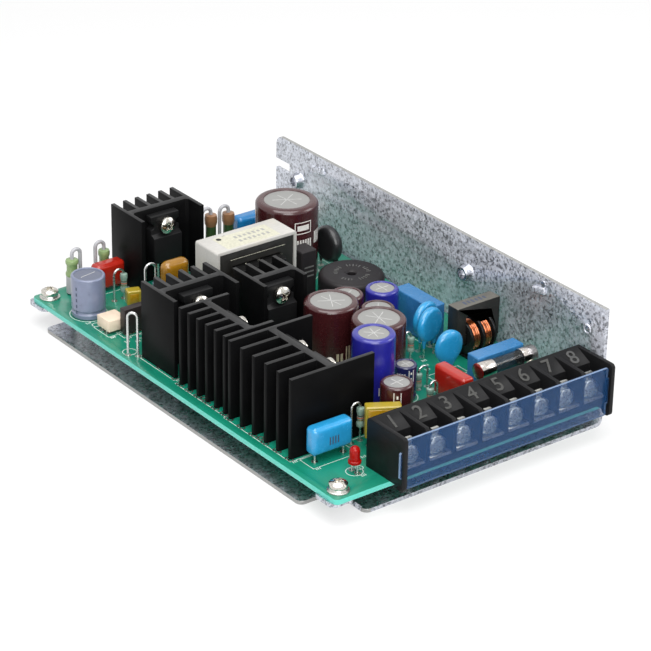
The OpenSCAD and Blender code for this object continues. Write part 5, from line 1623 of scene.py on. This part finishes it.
class SUPPLY_OT_stage(bpy.types.Operator):
    """Sets the pale floor, the soft lamps and the camera"""

    bl_idname = "supply.stage"
    bl_label = "Stage"
    bl_options = {"REGISTER", "UNDO"}

    floor_half = 4.0
    floor_whitening = 0.62

    def execute(self, context):
        settings = bpy.context.scene.supply_stage
        self.floor(settings.floor)
        self.world(settings.ambient)
        middle = (cad_low + cad_high) / 2
        self.lamp("top_lamp", middle, (-0.15, -0.1, 0.75), 0.75, settings.top_power)
        self.lamp("front_lamp", middle, (-0.45, -0.75, 0.45), 0.6, settings.front_power)
        self.lamp("side_lamp", middle, (0.75, -0.45, 0.5), 0.5, settings.side_power)
        self.camera()
        bpy.context.scene.view_settings.view_transform = "Standard"
        return {"FINISHED"}

    def floor(self, colour):
        """A wide pale floor just under the part, which keeps the part's shadow."""
        mesh = bmesh.new()
        half = self.floor_half
        level = cad_low.z - 0.02 * MM
        corners = ((-half, -half), (half, -half), (half, half), (-half, half))
        mesh.faces.new([mesh.verts.new((x, y, level)) for x, y in corners])
        data = bpy.data.meshes.new("stage_floor")
        mesh.to_mesh(data)
        mesh.free()
        made = Finish("floor_white", tuple(colour), 0.8)
        made.whitened(made.shader, "ShaderNodeEmission", "Material Output", self.floor_whitening)
        data.materials.append(made.material)
        floor = bpy.data.objects.new("stage_floor", data)
        bpy.context.scene.collection.objects.link(floor)

    def world(self, strength):
        """Soft light from all round, in front of a white surrounding."""
        world = bpy.data.worlds.new("studio")
        bpy.context.scene.world = world
        world.use_nodes = True
        tree = Tree(world.node_tree)
        background = tree.nodes["Background"]
        tree.fill(background.inputs["Color"], WHITE)
        tree.fill(background.inputs["Strength"], strength)
        tree.whitened(background, "ShaderNodeBackground", "World Output")

    def lamp(self, name, middle, offset, size, power):
        data = bpy.data.lights.new(name, "AREA")
        data.shape = "SQUARE"
        data.size = size
        data.energy = power
        lamp = bpy.data.objects.new(name, data)
        lamp.location = middle + Vector(offset)
        lamp.rotation_euler = (middle - lamp.location).to_track_quat("-Z", "Y").to_euler()
        bpy.context.scene.collection.objects.link(lamp)

    def camera(self):
        data = bpy.data.cameras.new("view")
        data.sensor_width = CAMERA_SENSOR
        data.lens = CAMERA_LENS
        camera = bpy.data.objects.new("view", data)
        bpy.context.scene.collection.objects.link(camera)
        level = math.cos(CAMERA_ELEVATION)
        back = Vector((level * math.cos(FACING), level * math.sin(FACING), math.sin(CAMERA_ELEVATION)))
        side = Vector((-math.sin(FACING), math.cos(FACING), 0.0))
        above = back.cross(side)
        right = side * math.cos(CAMERA_ROLL) + above * math.sin(CAMERA_ROLL)
        turned = Matrix((right, back.cross(right), back)).transposed().to_4x4()
        camera.matrix_world = Matrix.Translation(CAMERA_AIM + back * CAMERA_DISTANCE) @ turned
        bpy.context.scene.camera = camera


OPERATORS = (
    SUPPLY_OT_chassis, SUPPLY_OT_board, SUPPLY_OT_fasteners, SUPPLY_OT_terminals, SUPPLY_OT_heatsinks,
    SUPPLY_OT_packages, SUPPLY_OT_transformer, SUPPLY_OT_electrolytics, SUPPLY_OT_chokes,
    SUPPLY_OT_boxes, SUPPLY_OT_discs, SUPPLY_OT_films, SUPPLY_OT_chips, SUPPLY_OT_resistors, SUPPLY_OT_stage,
)


class SUPPLY_PT_panel(bpy.types.Panel):
    """Lists the steps that dress the supply."""

    bl_idname = "SUPPLY_PT_panel"
    bl_label = "Open Frame Supply"
    bl_space_type = "VIEW_3D"
    bl_region_type = "UI"
    bl_category = "Supply"

    def draw(self, context):
        for operator in OPERATORS:
            self.layout.operator(operator.bl_idname)
        for group in (context.scene.supply_colours, context.scene.supply_sizes, context.scene.supply_stage):
            box = self.layout.box()
            for name in group.__annotations__:
                box.prop(group, name)


CLASSES = (SUPPLY_PG_colours, SUPPLY_PG_sizes, SUPPLY_PG_stage, *OPERATORS, SUPPLY_PT_panel)


def register():
    for item in CLASSES:
        bpy.utils.register_class(item)
    bpy.types.Scene.supply_colours = bpy.props.PointerProperty(type=SUPPLY_PG_colours)
    bpy.types.Scene.supply_sizes = bpy.props.PointerProperty(type=SUPPLY_PG_sizes)
    bpy.types.Scene.supply_stage = bpy.props.PointerProperty(type=SUPPLY_PG_stage)


def unregister():
    del bpy.types.Scene.supply_stage
    del bpy.types.Scene.supply_sizes
    del bpy.types.Scene.supply_colours
    for item in reversed(CLASSES):
        bpy.utils.unregister_class(item)


def main():
    """Dresses the whole supply."""
    random.seed(SEED)
    register()
    for operator in OPERATORS:
        group, name = operator.bl_idname.split(".")
        getattr(getattr(bpy.ops, group), name)()


if __name__ == "__main__":
    main()
